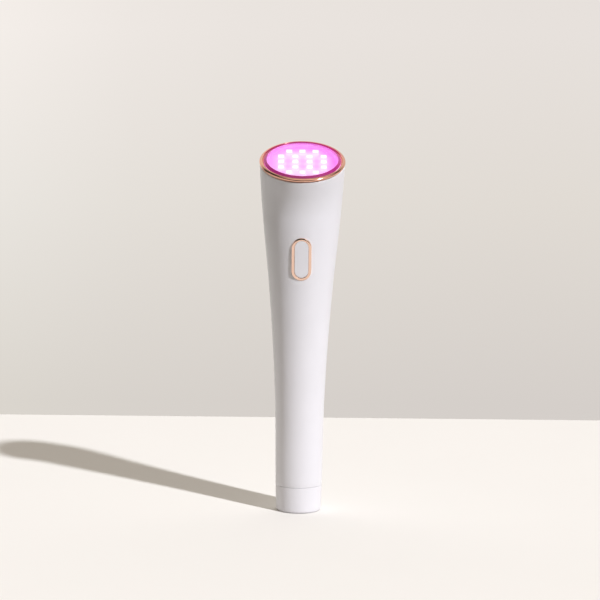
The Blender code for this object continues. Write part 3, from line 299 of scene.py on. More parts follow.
def feed(material, socket, output):
    material.node_tree.links.new(output, material.node_tree.nodes["Principled BSDF"].inputs[socket])


def object_place(material):
    """Coordinates that stay with the piece, in metres."""
    return lay_node(material, "ShaderNodeTexCoord", {}).outputs["Object"]


def stored(material, name):
    """The number that store() keeps at each point of the piece."""
    return lay_node(material, "ShaderNodeAttribute", {}, attribute_name=name).outputs["Fac"]


def grain(material, size, detail=3.0, stretch=(1.0, 1.0, 1.0)):
    """Noise whose lumps are about size mm across, longer along an axis whose stretch is above 1."""
    scale = [1.0 / (size * MM * s) for s in stretch]
    mapped = lay_node(material, "ShaderNodeMapping", {"Vector": object_place(material), "Scale": scale})
    noise = {"Vector": mapped.outputs["Vector"], "Scale": 1.0, "Detail": detail}
    return lay_node(material, "ShaderNodeTexNoise", noise).outputs["Fac"]


def between(material, noise, low, high):
    """Turns noise, which stays mostly between 0.3 and 0.7, into a number between low and high."""
    ends = {"Value": noise, "From Min": 0.3, "From Max": 0.7, "To Min": low, "To Max": high}
    return lay_node(material, "ShaderNodeMapRange", ends).outputs["Result"]


def ramp(material, noise, *stops):
    """Colours read off a ramp: each stop is a place from 0 to 1 and a colour."""
    made = lay_node(material, "ShaderNodeValToRGB", {"Fac": noise})
    for k, (place, colour) in enumerate(stops):
        stop = made.color_ramp.elements[k] if k < 2 else made.color_ramp.elements.new(place)
        stop.position = place
        stop.color = (*colour, 1.0)
    return made.outputs["Color"]


def from_to(owner, value, low, high):
    """0 below low, 1 above high, and even between."""
    ends = {"Value": value, "From Min": low, "From Max": high}
    return lay_node(owner, "ShaderNodeMapRange", ends).outputs["Result"]


def mix_colours(owner, share, first, second):
    """The first colour where share is 0 and the second where it is 1."""
    mix = lay_node(owner, "ShaderNodeMix", {}, data_type="RGBA")
    colours = [socket for socket in mix.inputs if socket.type == "RGBA"]
    owner.node_tree.links.new(share, mix.inputs["Factor"])
    owner.node_tree.links.new(first, colours[0])
    owner.node_tree.links.new(second, colours[1])
    return [socket for socket in mix.outputs if socket.type == "RGBA"][0]


def bump(material, noise, depth):
    """Relief of the given depth in mm."""
    ends = {"Height": noise, "Distance": depth * MM, "Strength": 1.0}
    return lay_node(material, "ShaderNodeBump", ends).outputs["Normal"]


def shade(colour, factor):
    return tuple(min(channel * factor, 1.0) for channel in colour)


print("a mid grey a tenth darker:", shade((0.5, 0.5, 0.5), 0.9))

# %% [markdown]
# ## Satin white moulding
# The handle, foot and button are injection-moulded in white plastic with a satin face: smooth enough to
# carry one soft highlight, and broken up by the fine spark-eroded grain of the mould. Broad clouds shift
# the white by about one part in a hundred, a second cloud shifts the gloss, and the grain is a bump a few
# micrometres deep.

# %% Moulded plastics
def moulded(name, colour, gloss, grain_size=0.22, depth=0.004, cloud=14.0, swing=0.012, **sockets):
    material = new_finish(name, IOR=1.5, **sockets)
    clouds = grain(material, cloud, detail=2.0)
    colours = [(0.3, shade(colour, 1 - swing)), (0.7, shade(colour, 1 + swing))]
    feed(material, "Base Color", ramp(material, clouds, *colours))
    wear = grain(material, cloud / 4, detail=4.0)
    feed(material, "Roughness", between(material, wear, gloss * 0.92, gloss * 1.08))
    feed(material, "Normal", bump(material, grain(material, grain_size, detail=2.0), depth))
    return material


WHITE = (0.862, 0.843, 0.878)
handle_white = moulded("satin_white_handle", WHITE, 0.34)
foot_white = moulded("satin_white_foot", WHITE, 0.34)
button_white = moulded("satin_white_button", WHITE, 0.30, grain_size=0.16, depth=0.003)
print("white moulding finishes:", handle_white.name, foot_white.name, button_white.name)

# %% [markdown]
# ## Where the button sits
# The button, its rim and the hole in the sleeve share one place on the handle's front, and the wall there
# is curved across and flares along. All three are drawn in a flat frame that touches the wall at the
# button's middle. One function tells how far the wall falls away under that plane, and another gives the
# pill outline, so that the three pieces can't drift apart.

# %% The button's frame on the handle
BUTTON_HEIGHT = 115.7
BUTTON_SURFACE = float(body_radius(BUTTON_HEIGHT))
FLARE_STEP = 0.5
flare_rise = body_radius(BUTTON_HEIGHT + FLARE_STEP) - body_radius(BUTTON_HEIGHT - FLARE_STEP)
BUTTON_FLARE = math.atan2(float(flare_rise), 2 * FLARE_STEP)
BUTTON_AXES = np.array([
    [1.0, 0.0, 0.0],
    [0.0, -math.sin(BUTTON_FLARE), math.cos(BUTTON_FLARE)],
    [0.0, -math.cos(BUTTON_FLARE), -math.sin(BUTTON_FLARE)],
])
BUTTON_ORIGIN = np.array([0.0, -BUTTON_SURFACE, BUTTON_HEIGHT])
WALL_PASSES = 12


def at_button(x, y, height):
    """Points from across, along and out of the button's face, in mm."""
    x, y, height = np.broadcast_arrays(x, y, height)
    return BUTTON_ORIGIN + np.stack([x, y, height], axis=-1) @ BUTTON_AXES


def wall_height(x, y, inset=0.0):
    """How far the wall lies out of the button's plane at x across and y along it. The length s along the
    handle is found by repeating: the wall's depth at s gives the s that lands on y."""
    s = np.full(np.shape(y), BUTTON_HEIGHT)
    for _ in range(WALL_PASSES):
        depth = BUTTON_SURFACE - np.sqrt((body_radius(s) - inset) ** 2 - np.square(x))
        s = BUTTON_HEIGHT + (y + depth * math.sin(BUTTON_FLARE)) / math.cos(BUTTON_FLARE)
    return -depth * math.cos(BUTTON_FLARE) - (s - BUTTON_HEIGHT) * math.sin(BUTTON_FLARE)


def pill(width, length, columns):
    """A pill outline as its spine point and its outward spoke for every column, evenly along its edge.
    The spine is the line between the two end centres; a spoke is as long as half the width. The edge is
    a quarter circle, a straight side, a half circle, the other side and a last quarter."""
    reach = (length - width) / 2
    straight = 2 * reach
    arc = math.pi * width / 2
    quarter = arc / 2
    stops = np.cumsum([0.0, quarter, straight, arc, straight, quarter])
    along = circle(columns) / (2 * math.pi) * stops[-1]
    angles = np.interp(along, stops, np.array([0.0, 0.5, 0.5, 1.5, 1.5, 2.0]) * math.pi)
    heights = np.interp(along, stops, np.array([-1.0, -1.0, 1.0, 1.0, -1.0, -1.0]) * reach)
    spoke = np.stack([np.sin(angles), -np.cos(angles)], axis=-1)
    spine = np.stack([np.zeros(columns), heights], axis=-1)
    return spine, spoke * width / 2


print("flare at the button, degrees:", round(math.degrees(BUTTON_FLARE), 3))

# %% [markdown]
# ## The white sleeve
# The handle is one moulded sleeve with no side seam, so it is one skin: up the outside, over the rim,
# down the bore, and back out at the bottom. Cutting the button's hole with a boolean would leave long
# thin faces round it. Instead a patch of the grid is taken out, and rings of points slide from the
# patch's edge to the pill outline, each staying exactly on the wall.

# %% Make the sleeve
WALL = 1.4
SEAM_GAP = 0.25
SEAT_GAP = 0.3
CAP_HEIGHT = 11.6
FOOT_SEAM = 0.12
SEAM_ROUND = 0.15
SLEEVE_LOW = CAP_HEIGHT + FOOT_SEAM
RIM_REBATE_WIDTH = 0.7
RIM_REBATE_DEPTH = 1.2
PLUG_FLANGE = 1.0
LOW_REBATE_WIDTH = 0.7
LOW_REBATE_TOP = CAP_HEIGHT + SEAT_GAP + PLUG_FLANGE + SEAT_GAP
EDGE_ROUND = 0.3
SLEEVE_COLUMNS = 144
HOLE_WIDTH = 8.1
HOLE_LENGTH = 18.7
PATCH_COLUMNS = 10
PATCH_REACH = 12.6
PATCH_ROWS = 30
PATCH_RINGS = 7
PATCH_CROWDING = 0.8
ROWS_BELOW = 43
ROWS_ABOVE = 27


def wall_rows(low, high):
    """Lengths of the rows between two ends: even through the button's patch, wider below and above."""
    patch_low, patch_high = BUTTON_HEIGHT - PATCH_REACH, BUTTON_HEIGHT + PATCH_REACH
    below = np.linspace(low, patch_low, ROWS_BELOW + 1)[:-1]
    patch = np.linspace(patch_low, patch_high, PATCH_ROWS + 1)
    above = np.linspace(patch_high, high, ROWS_ABOVE + 1)[1:]
    return np.concatenate([below, patch, above]), len(below)


def patch_edge(first_row, last_row):
    """Rows and columns of the patch's edge, once round, columns counted from the front. The bore's rows
    run downwards, so there the first row is the higher number."""
    step = 1 if last_row > first_row else -1
    rows = np.arange(first_row, last_row + step, step)
    columns = np.arange(-PATCH_COLUMNS, PATCH_COLUMNS + 1)
    bottom = np.stack([np.full(len(columns), rows[0]), columns], axis=-1)
    right = np.stack([rows[1:], np.full(len(rows) - 1, PATCH_COLUMNS)], axis=-1)
    top = np.stack([np.full(len(columns) - 1, rows[-1]), columns[::-1][1:]], axis=-1)
    left = np.stack([rows[::-1][1:-1], np.full(len(rows) - 2, -PATCH_COLUMNS)], axis=-1)
    return np.concatenate([bottom, right, top, left])


def loop_quads(stack):
    """Quads between rows of point numbers that each run once round."""
    low, high = stack[:-1], stack[1:]
    quads = np.stack([low, np.roll(low, -1, axis=1), np.roll(high, -1, axis=1), high], axis=-1)
    return quads.reshape(-1, 4)


def make_sleeve():
    """The profile turned about the centre line and bent, less two patches, plus the rings that lead from
    each patch's edge to the hole and the hole's own wall."""
    outer, before = wall_rows(SLEEVE_LOW + SEAM_ROUND, BODY_LENGTH - EDGE_ROUND)
    inner, before_inner = wall_rows(LOW_REBATE_TOP, BODY_LENGTH - RIM_REBATE_DEPTH)
    low_radius = body_radius(SLEEVE_LOW)
    rim_rebate = RIM_RADIUS - WALL + RIM_REBATE_WIDTH
    low_rebate = low_radius - WALL + LOW_REBATE_WIDTH
    quarter = quarter_turn(CORNER_STEPS)[1:]
    top_edge = np.stack([
        RIM_RADIUS - EDGE_ROUND + EDGE_ROUND * np.cos(quarter),
        BODY_LENGTH - EDGE_ROUND + EDGE_ROUND * np.sin(quarter),
    ], axis=-1)
    low_edge = np.stack([
        low_radius - SEAM_ROUND + SEAM_ROUND * np.cos(quarter),
        SLEEVE_LOW + SEAM_ROUND - SEAM_ROUND * np.sin(quarter),
    ], axis=-1)
    rim = np.array([
        [rim_rebate, BODY_LENGTH],
        [rim_rebate, BODY_LENGTH - RIM_REBATE_DEPTH],
    ])
    foot = np.array([
        [low_rebate, LOW_REBATE_TOP],
        [low_rebate, SLEEVE_LOW],
    ])
    outside = np.stack([body_radius(outer), outer], axis=-1)
    bore = np.stack([body_radius(inner) - WALL, inner], axis=-1)
    profile = np.concatenate([outside, top_edge, rim, bore[::-1], foot, low_edge[::-1]])
    straight = turned(profile, SLEEVE_COLUMNS)
    grid = bent(straight[..., 0], straight[..., 1], straight[..., 2])
    quads = ring_quads(len(profile), SLEEVE_COLUMNS, True)
    rows = quads[:, 0] // SLEEVE_COLUMNS
    columns = (quads[:, 0] % SLEEVE_COLUMNS + SLEEVE_COLUMNS // 2) % SLEEVE_COLUMNS - SLEEVE_COLUMNS // 2
    in_columns = (columns >= -PATCH_COLUMNS) & (columns < PATCH_COLUMNS)
    bore_start = len(outside) + len(top_edge) + len(rim)
    last = bore_start + len(bore) - 1
    spans = [(before, before + PATCH_ROWS), (last - before_inner, last - before_inner - PATCH_ROWS)]
    keep = np.ones(len(quads), bool)
    for first, final in spans:
        keep &= ~(in_columns & (rows >= min(first, final)) & (rows < max(first, final)))
    points = [grid.reshape(-1, 3)]
    faces = [quads[keep]]
    count = len(points[0])
    hole_rings = []
    reach = (HOLE_LENGTH - HOLE_WIDTH) / 2
    outline = None
    for (first, final), inset in zip(spans, (0.0, WALL)):
        edge = patch_edge(first, final)
        edge_index = edge[:, 0] * SLEEVE_COLUMNS + edge[:, 1] % SLEEVE_COLUMNS
        flat = (points[0][edge_index] - BUTTON_ORIGIN) @ BUTTON_AXES.T
        if outline is None:
            spine = np.stack([np.zeros(len(flat)), np.clip(flat[:, 1], -reach, reach)], axis=-1)
            spoke = flat[:, :2] - spine
            outline = spine + spoke / np.linalg.norm(spoke, axis=1, keepdims=True) * HOLE_WIDTH / 2
        shares = np.linspace(0.0, 1.0, PATCH_RINGS + 1)[1:, None, None] ** PATCH_CROWDING
        plane = flat[None, :, :2] * (1 - shares) + outline[None] * shares
        rings = at_button(plane[..., 0], plane[..., 1], wall_height(plane[..., 0], plane[..., 1], inset))
        ring_index = count + np.arange(rings.shape[0] * rings.shape[1]).reshape(rings.shape[:2])
        stack = np.concatenate([edge_index[None], ring_index])
        faces.append(loop_quads(stack))
        hole_rings.append(stack[-1])
        points.append(rings.reshape(-1, 3))
        count += len(points[-1])
    faces.append(loop_quads(np.stack(hole_rings)))
    return lay_piece(
        "handle_sleeve", np.concatenate(points), np.concatenate(faces), handle_white, "wand_body",
        ["housing"],
    )


make_sleeve()

# %% [markdown]
# ## Foot
# The foot is a cup with a thick floor: its outside carries the handle's line down to a rounded base, and
# its bore slides over the plug's neck with a hair of clearance. Where it meets the sleeve only a seam of
# an eighth of a millimetre shows, softened by a small round on either side, which reads as one fine grey
# line. The foot rides on its own body, because it pulls off.

# %% Make the foot
FOOT_FLOOR = 1.8
FOOT_WALL = 1.6
FOOT_EDGE_ROUND = 1.0
FOOT_INNER_ROUND = 0.5
FOOT_LIP_ROUND = 0.25
FOOT_FLAT = 4.0
FOOT_ROWS = 14
FOOT_EDGE_STEPS = 8
FOOT_COLUMNS = 144


def make_foot():
    """A closed cup turned about the handle's line: floor underside, rounded base edge, flared side, lip,
    bore and inner floor."""
    lip_radius = float(body_radius(CAP_HEIGHT))
    bore = lip_radius - FOOT_WALL
    heights = np.linspace(FOOT_EDGE_ROUND, CAP_HEIGHT - SEAM_ROUND, FOOT_ROWS)
    side = np.stack([body_radius(heights), heights], axis=-1)
    quarter = quarter_turn(FOOT_EDGE_STEPS)[:-1]
    base_edge = np.stack([
        body_radius(FOOT_EDGE_ROUND) - FOOT_EDGE_ROUND + FOOT_EDGE_ROUND * np.sin(quarter),
        FOOT_EDGE_ROUND - FOOT_EDGE_ROUND * np.cos(quarter),
    ], axis=-1)
    lip = rounded([
        (bore, FOOT_FLOOR, FOOT_INNER_ROUND),
        (lip_radius, FOOT_FLOOR, 0.0),
        (lip_radius, CAP_HEIGHT, SEAM_ROUND),
        (bore, CAP_HEIGHT, FOOT_LIP_ROUND),
    ])
    inner_floor, lip = lip[:CORNER_STEPS + 1], lip[CORNER_STEPS + 2:]
    profile = np.concatenate([
        [[0.0, 0.0], [FOOT_FLAT, 0.0]], base_edge, side, lip[1:], inner_floor,
        [[FOOT_FLAT, FOOT_FLOOR], [0.0, FOOT_FLOOR]],
    ])
    quads = ring_quads(len(profile), FOOT_COLUMNS, False)
    return lay_piece(
        "pull_off_foot", turned(profile, FOOT_COLUMNS), quads, foot_white, "foot_cap",
        ["base_cap"],
    )


make_foot()

# %% [markdown]
# ## Rose-gold plating
# The head ring and the button's rim are plastic or thin metal, plated and polished to a warm rose gold.
# Polished metal shows its surroundings, so its colour is only a tint: a low roughness with faint streaks
# from the buffing wheel, and a slight drift between copper and gold, keep it from looking like paint.
# The rim's plating is a little paler than the ring's. On the ring, the lamps' pink light spilling over
# the inner edge is painted on as a pink tint and a glow, and a number kept at each of its points says how
# much.

# %% Polished rose gold
ROSE_GOLD = (0.83, 0.47, 0.34)
PALE_ROSE_GOLD = (0.86, 0.60, 0.48)
# Painted pink light on the ring: the colour its plating is tinted towards and the glow it gives off.
PAINTED_SPILL_TINT = (0.45, 0.07, 0.30)
PAINTED_SPILL_GLOW = [(0.0, (0.0, 0.0, 0.0)), (0.35, (0.16, 0.012, 0.06)), (1.0, (0.28, 0.05, 0.34))]


def make_rose_gold(name, plating, painted_spill=False):
    """Polished plating. When asked for, a number kept at each point paints the lamps' pink light onto it, as
    a pink tint and a glow.
    """
    material = new_finish(name, Metallic=1.0, Emission_Strength=1.0 if painted_spill else 0.0)
    clouds = grain(material, 5.0, detail=2.0)
    colour = ramp(material, clouds, (0.3, shade(plating, 0.98)), (0.7, shade(plating, 1.03)))
    if painted_spill:
        amount = stored(material, "painted_spill")
        tint = ramp(material, amount, (0.0, plating), (1.0, PAINTED_SPILL_TINT))
        colour = mix_colours(material, amount, colour, tint)
        feed(material, "Emission Color", ramp(material, amount, *PAINTED_SPILL_GLOW))
    feed(material, "Base Color", colour)
    buffing = grain(material, 0.5, detail=4.0, stretch=(1.0, 1.0, 0.12))
    feed(material, "Roughness", between(material, buffing, 0.08, 0.13))
    feed(material, "Normal", bump(material, grain(material, 1.6, detail=3.0), 0.004))
    return material


rose_gold = make_rose_gold("polished_pale_rose_gold", PALE_ROSE_GOLD)
rose_gold_painted_pink = make_rose_gold("polished_rose_gold_painted_pink", ROSE_GOLD, painted_spill=True)
print("plating:", rose_gold.name, rose_gold_painted_pink.name)

# %% [markdown]
# ## Head ring
# The ring is one turned part: a rounded bulge that stands 0.25 mm out over the handle's rim, a narrow
# inner land, a ledge that carries the window, and a skirt that drops into the handle's rebate. The bulge
# follows an ellipse from its crest to a little under its widest place, so that it mirrors a whole sweep
# of the room. The pink light spilling from the lamps is painted onto it as a tint and a glow, strongest
# at its inner edge and on its far side, whose inner slope faces both the lamps and the viewer.

# %% Make the head ring
RING_RADIUS = 19.0
RING_CREST_RADIUS = 17.7
RING_CREST_HEIGHT = 1.75
RING_INNER_RADIUS = 17.1
RING_BORE = 16.3
RING_LEDGE = 0.3
RING_UNDER_RADIUS = 18.2
RING_EDGE_ROUND = 0.15
RING_LAND_ROUND = 0.25
RING_LAND_DROP = 0.02
RING_LEDGE_ROUND = 0.1
RING_LEDGE_CORNER = 0.05
RING_SKIRT_CORNER = 0.08
BULGE_END = -math.radians(62.0)
BULGE_ROWS = 23
RING_COLUMNS = 180
# Painted pink light on the ring: its share falls off outwards from the inner edge and is larger on the far
# side.
SPILL_RADII = (17.25, 17.6, 18.6)
SPILL_SHARES = (1.0, 0.45, 0.0)
SPILL_SIDES = (0.2, 0.9)
SPILL_LIGHT = (0.12, 1.0)


def make_head_ring():
    """The bulge, angle by angle from its crest at a right angle, is the ellipse's centre plus its half
    width times the cosine and its half height times the sine."""
    low = SEAM_GAP
    swell = np.linspace(math.pi / 2, BULGE_END, BULGE_ROWS)
    bulge = np.stack([
        RING_CREST_RADIUS + (RING_RADIUS - RING_CREST_RADIUS) * np.cos(swell),
        (RING_CREST_HEIGHT + low) / 2 + (RING_CREST_HEIGHT - low) / 2 * np.sin(swell),
    ], axis=-1)
    skirt = RIM_RADIUS - WALL + RIM_REBATE_WIDTH - SEAT_GAP
    skirt_low = SEAT_GAP - RIM_REBATE_DEPTH
    under = rounded([
        (RING_UNDER_RADIUS, low, 0.0),
        (skirt, low, RING_SKIRT_CORNER),
        (skirt, skirt_low, RING_EDGE_ROUND),
        (RING_BORE, skirt_low, RING_EDGE_ROUND),
        (RING_BORE, RING_LEDGE, RING_LEDGE_ROUND),
        (RING_INNER_RADIUS, RING_LEDGE, RING_LEDGE_CORNER),
        (RING_INNER_RADIUS, RING_CREST_HEIGHT - RING_LAND_DROP, RING_LAND_ROUND),
    ])
    profile = np.concatenate([bulge, under])
    ring = turned_on_head("head_ring_band", profile, RING_COLUMNS, rose_gold_painted_pink, "head_ring")
    across, along, up = in_head_frame(ring)
    radius = np.hypot(across, along)
    # How much painted pink tint and glow each point of the ring gets.
    painted_spill = np.interp(radius, SPILL_RADII, SPILL_SHARES) * (up > RING_LEDGE)
    painted_spill *= np.interp(along / radius, SPILL_SIDES, SPILL_LIGHT)
    store(ring, "painted_spill", painted_spill)
    return ring


make_head_ring()

# %% [markdown]
# ## Window
# A clear acrylic disc with a bevelled rim closes the head. Its face stands a little proud of the ring so
# that it touches the skin. It is a solid with two faces, not one sheet, because light bends at each of
# them. Its bevel is not drawn clear: it is dark, with a painted magenta glow, pinker to the right, that
# stands for the lamps' light seen through it and shows as the magenta band inside the ring. A ring of
# points close inside each edge keeps the smooth shading of the round corners off the flat faces, which
# have to look flat to refract well.

# %% Make the window
LENS_FACE = 2.1
LENS_UNDER = 1.0
LENS_RADIUS = 16.9
WINDOW_RADIUS = 15.85
BEVEL_DROP = 0.55
FLAT_MARGIN = 0.35
FACE_ROUND = 0.12
BEVEL_ROUND = 0.08
EDGE_SLACK = 0.02
FLOOR_SLACK = 0.1
# Painted light: the bevel's glow colours, from the left side to the right side.
PAINTED_BEVEL_GLOW = [(0.0, (0.28, 0.018, 0.13)), (0.5, (0.21, 0.012, 0.08)), (1.0, (0.40, 0.02, 0.20))]


def make_clear_acrylic():
    sockets = {"Base_Color": (1.0, 0.97, 1.0, 1.0), "IOR": 1.49, "Transmission_Weight": 1.0}
    material = new_finish("clear_acrylic", **sockets)
    rubs = grain(material, 3.0, detail=5.0, stretch=(1.0, 0.35, 1.0))
    feed(material, "Roughness", between(material, rubs, 0.01, 0.035))
    feed(material, "Normal", bump(material, grain(material, 6.0, detail=2.0), 0.002))
    return material


def make_bevel_painted_glow():
    """Painted light on the bevel: a dark face with a deep magenta glow, pinker to the right."""
    material = new_finish("bevel_painted_glow", Base_Color=(0.10, 0.01, 0.05, 1.0), IOR=1.49, Emission_Strength=1.0)
    across = lay_node(material, "ShaderNodeSeparateXYZ", {"Vector": object_place(material)}).outputs["X"]
    # Painted light: the glow's colour changes from left to right.
    side = from_to(material, across, -LENS_RADIUS * MM, LENS_RADIUS * MM)
    feed(material, "Emission Color", ramp(material, side, *PAINTED_BEVEL_GLOW))
    feed(material, "Roughness", between(material, grain(material, 0.8), 0.12, 0.22))
    feed(material, "Normal", bump(material, grain(material, 0.5), 0.004))
    return material


def make_window():
    """A disc of two flat faces, a bevel and an edge; faces outside the clear circle and above the edge's
    foot get the bevel's dark finish with its painted glow."""
    profile = rounded([
        (0.0, LENS_FACE, 0.0),
        (WINDOW_RADIUS - FLAT_MARGIN, LENS_FACE, 0.0),
        (WINDOW_RADIUS, LENS_FACE, FACE_ROUND),
        (LENS_RADIUS, LENS_FACE - BEVEL_DROP, BEVEL_ROUND),
        (LENS_RADIUS, LENS_UNDER, BEVEL_ROUND),
        (LENS_RADIUS - FLAT_MARGIN, LENS_UNDER, 0.0),
        (0.0, LENS_UNDER, 0.0),
    ])
    finishes = [clear_acrylic, bevel_painted_glow]
    window = turned_on_head(
        "lamp_window", profile, RING_COLUMNS, finishes, "lens", closed=False
    )
    across, along, up = in_head_frame(window, of_faces=True)
    painted_glow_faces = (np.hypot(across, along) > WINDOW_RADIUS - EDGE_SLACK) & (up > LENS_UNDER + FLOOR_SLACK)
    window.data.polygons.foreach_set("material_index", painted_glow_faces.astype(np.int32))
    return window


clear_acrylic = make_clear_acrylic()
bevel_painted_glow = make_bevel_painted_glow()
window = make_window()
print("finishes of the window:", [material.name for material in window.data.materials])

# %% [markdown]
# ## Adhesive ring and reflector
# A milky silicone ring bonds the window to the ledge behind the bevel. Inside it a thin drafted wall
# keeps the light from leaking sideways into the ring. Both are pale and close to the lamps, so they look
# pink when the lamps are lit. Light that bounced between so many small white parts would need very many
# rays, so that pink light is painted on instead: each finish is tinted pink and glows with its own share.

# %% Make the adhesive ring and the reflector
GASKET_LOW = 0.45
GASKET_TOP = 0.85
GASKET_INNER = 16.3
REFLECTOR_OUTER = 16.05
REFLECTOR_TOP_INNER = 15.7
REFLECTOR_LOW_INNER = 15.0
REFLECTOR_LOW = -0.55
REFLECTOR_TOP = 0.75
SMALL_ROUND = 0.1
GASKET_COLUMNS = 120
REFLECTOR_COLUMNS = 144


def lit_white(name, colour, glow, strength, gloss):
    """Moulding with the lamps' pink light painted on: its given colour is tinted pink and it glows. For the
    white parts bathed in that light.
    """
    sockets = {"Emission_Color": (*glow, 1.0), "Emission_Strength": strength}
    return moulded(name, colour, gloss, grain_size=0.2, depth=0.003, **sockets)


# Painted pink light: both colours are white tinted pink, and both parts glow.
reflector_painted_pink = lit_white("reflector_lit_pink", (0.50, 0.28, 0.50), (1.0, 0.16, 0.96), 0.72, 0.3)
milky_silicone = lit_white("milky_silicone_lit_pink", (0.80, 0.55, 0.80), (1.0, 0.16, 0.95), 0.5, 0.6)
gasket_profile = rounded([
    (GASKET_INNER, GASKET_TOP, SMALL_ROUND),
    (GASKET_INNER, GASKET_LOW, SMALL_ROUND),
    (LENS_RADIUS, GASKET_LOW, SMALL_ROUND),
    (LENS_RADIUS, GASKET_TOP, SMALL_ROUND),
])
turned_on_head(
    "window_adhesive_ring", gasket_profile, GASKET_COLUMNS, milky_silicone, "lens_gasket"
)
reflector_profile = rounded([
    (REFLECTOR_OUTER, REFLECTOR_TOP, SMALL_ROUND),
    (REFLECTOR_TOP_INNER, REFLECTOR_TOP, SMALL_ROUND),
    (REFLECTOR_LOW_INNER, REFLECTOR_LOW, SMALL_ROUND),
    (REFLECTOR_OUTER, REFLECTOR_LOW, SMALL_ROUND),
])
turned_on_head(
    "reflector_cone", reflector_profile, REFLECTOR_COLUMNS, reflector_painted_pink,
    "reflector_wall"
)

# %% [markdown]
# ## The lamps' places
# Eighteen surface-mounted lamps stand in rows of three, four, four, four and three. They keep one pitch
# along the rows of four and a slightly closer one along the end rows, which lie a little less than two
# row pitches from the middle. All of it is written as shares of the reflector that surrounds them.

# %% Where the lamps stand
COLUMN_PITCH = 0.390 * REFLECTOR_OUTER
ROW_PITCH = 0.318 * REFLECTOR_OUTER
END_COLUMN_PITCH = 0.363 * REFLECTOR_OUTER
END_ROW = 0.615 * REFLECTOR_OUTER
rows = [(END_ROW, 3, END_COLUMN_PITCH)]
rows += [(row * ROW_PITCH, 4, COLUMN_PITCH) for row in (1, 0, -1)]
rows += [(-END_ROW, 3, END_COLUMN_PITCH)]
lamp_places = [((i - (count - 1) / 2) * pitch, y) for y, count, pitch in rows for i in range(count)]
print("lamps:", len(lamp_places))

# %% [markdown]
# ## Lamp board
# The board is a thin disc with a white solder mask. Lit by the lamps it looks nearly white next to each
# lamp and magenta further off, more so on the right, and that light is painted on: the mask is tinted pink,
# and a painted glow is worked out at each of its points as a sum of soft spots, one for each lamp, with a
# second number that tells the left from the right.

# %% Make the board with its glow
BOARD_TOP = -0.8
BOARD_LOW = -2.4
BOARD_EDGE = 0.1
BOARD_RINGS = 44
BOARD_COLUMNS = 144
SPOT_RADIUS = 2.15
# Painted light: the board's glow colours, deeper magenta on the right.
LEFT_PAINTED_GLOW = [(0.0, (0.95, 0.24, 0.95)), (0.72, (1.0, 0.45, 1.0)), (1.0, (1.0, 0.85, 1.0))]
RIGHT_PAINTED_GLOW = [(0.0, (0.95, 0.06, 0.92)), (0.72, (1.0, 0.40, 1.0)), (1.0, (1.0, 0.80, 1.0))]


def make_board_white():
    """White solder mask, tinted pink, with the lamps' light painted on as a glow. The number named glow runs
    from 0 between lamps to 1 beside one, and the second number from 0 at the left to 1 at the right, where
    the painted glow is a deeper magenta."""
    material = new_finish("lamp_board_mask_painted_pink", IOR=1.5, Emission_Strength=0.75)
    # Painted light: the white mask is tinted pink as if lit by the lamps.
    mask = ramp(material, grain(material, 3.0), (0.3, (0.44, 0.20, 0.44)), (0.7, (0.48, 0.23, 0.48)))
    feed(material, "Base Color", mask)
    feed(material, "Roughness", between(material, grain(material, 0.6), 0.38, 0.46))
    feed(material, "Normal", bump(material, grain(material, 0.3), 0.006))
    glow = stored(material, "glow")
    left = ramp(material, glow, *LEFT_PAINTED_GLOW)
    right = ramp(material, glow, *RIGHT_PAINTED_GLOW)
    feed(material, "Emission Color", mix_colours(material, stored(material, "painted_glow_side"), left, right))
    return material


def make_board():
    """A disc with many rings of points on its face. A point's glow is the sum over the lamps of
    exp(-away^2 / (2 radius^2)), at most 1."""
    face = np.linspace(0.0, REFLECTOR_OUTER - BOARD_EDGE, BOARD_RINGS)
    radii = np.concatenate([face, [REFLECTOR_OUTER, REFLECTOR_OUTER, 0.0]])
    heights = np.full(len(radii), BOARD_TOP)
    heights[-3:] = (BOARD_TOP - BOARD_EDGE, BOARD_LOW, BOARD_LOW)
    profile = np.stack([radii, heights], axis=-1)
    board = turned_on_head(
        "lamp_board_disc", profile, BOARD_COLUMNS, board_white, "led_board", closed=False
    )
    across, along, _ = in_head_frame(board)
    places = np.array(lamp_places)
    away = np.square(across[:, None] - places[:, 0]) + np.square(along[:, None] - places[:, 1])
    glow = np.clip(np.exp(-away / (2 * SPOT_RADIUS**2)).sum(axis=1), 0.0, 1.0)
    store(board, "glow", glow)
    store(board, "painted_glow_side", (across / REFLECTOR_OUTER + 1) / 2)
    print("glow on the board from", glow.min().round(3), "to", glow.max().round(3))
    return board


board_white = make_board_white()
make_board()

# %% [markdown]
# ## Lamps
# Each lamp is a white package with a round cup, filled with clear resin over the chip. Lit, the resin is
# brighter than a photograph can hold and looks nearly white. The pink light on the package is painted on:
# it is tinted pink and glows, palest beside its cup. One lamp is worked out as rings of points and then
# set down eighteen times on the leaning board, each as a piece of its own.

# %% Make the lamps
LAMP_WIDTH = 2.8
LAMP_LENGTH = 3.5
LAMP_HEIGHT = 0.9
LAMP_SEAT = -0.65
LAMP_CORNER = 0.25
LAMP_EDGE = 0.1
EDGE_SHARE = 0.3
EDGE_DROP = 0.03
CUP_RADIUS = 1.15
CUP_LIP = 0.08
CUP_DEPTH = 0.12
CUP_SLACK = 0.01
DOME_RISE = 0.1
DOME_STEPS = 5
LAMP_COLUMNS = 32
RESIN_STRENGTH = 1.05
PALE_PINK = (1.0, 0.66, 1.0)
PURE_WHITE = (1.0, 1.0, 1.0)


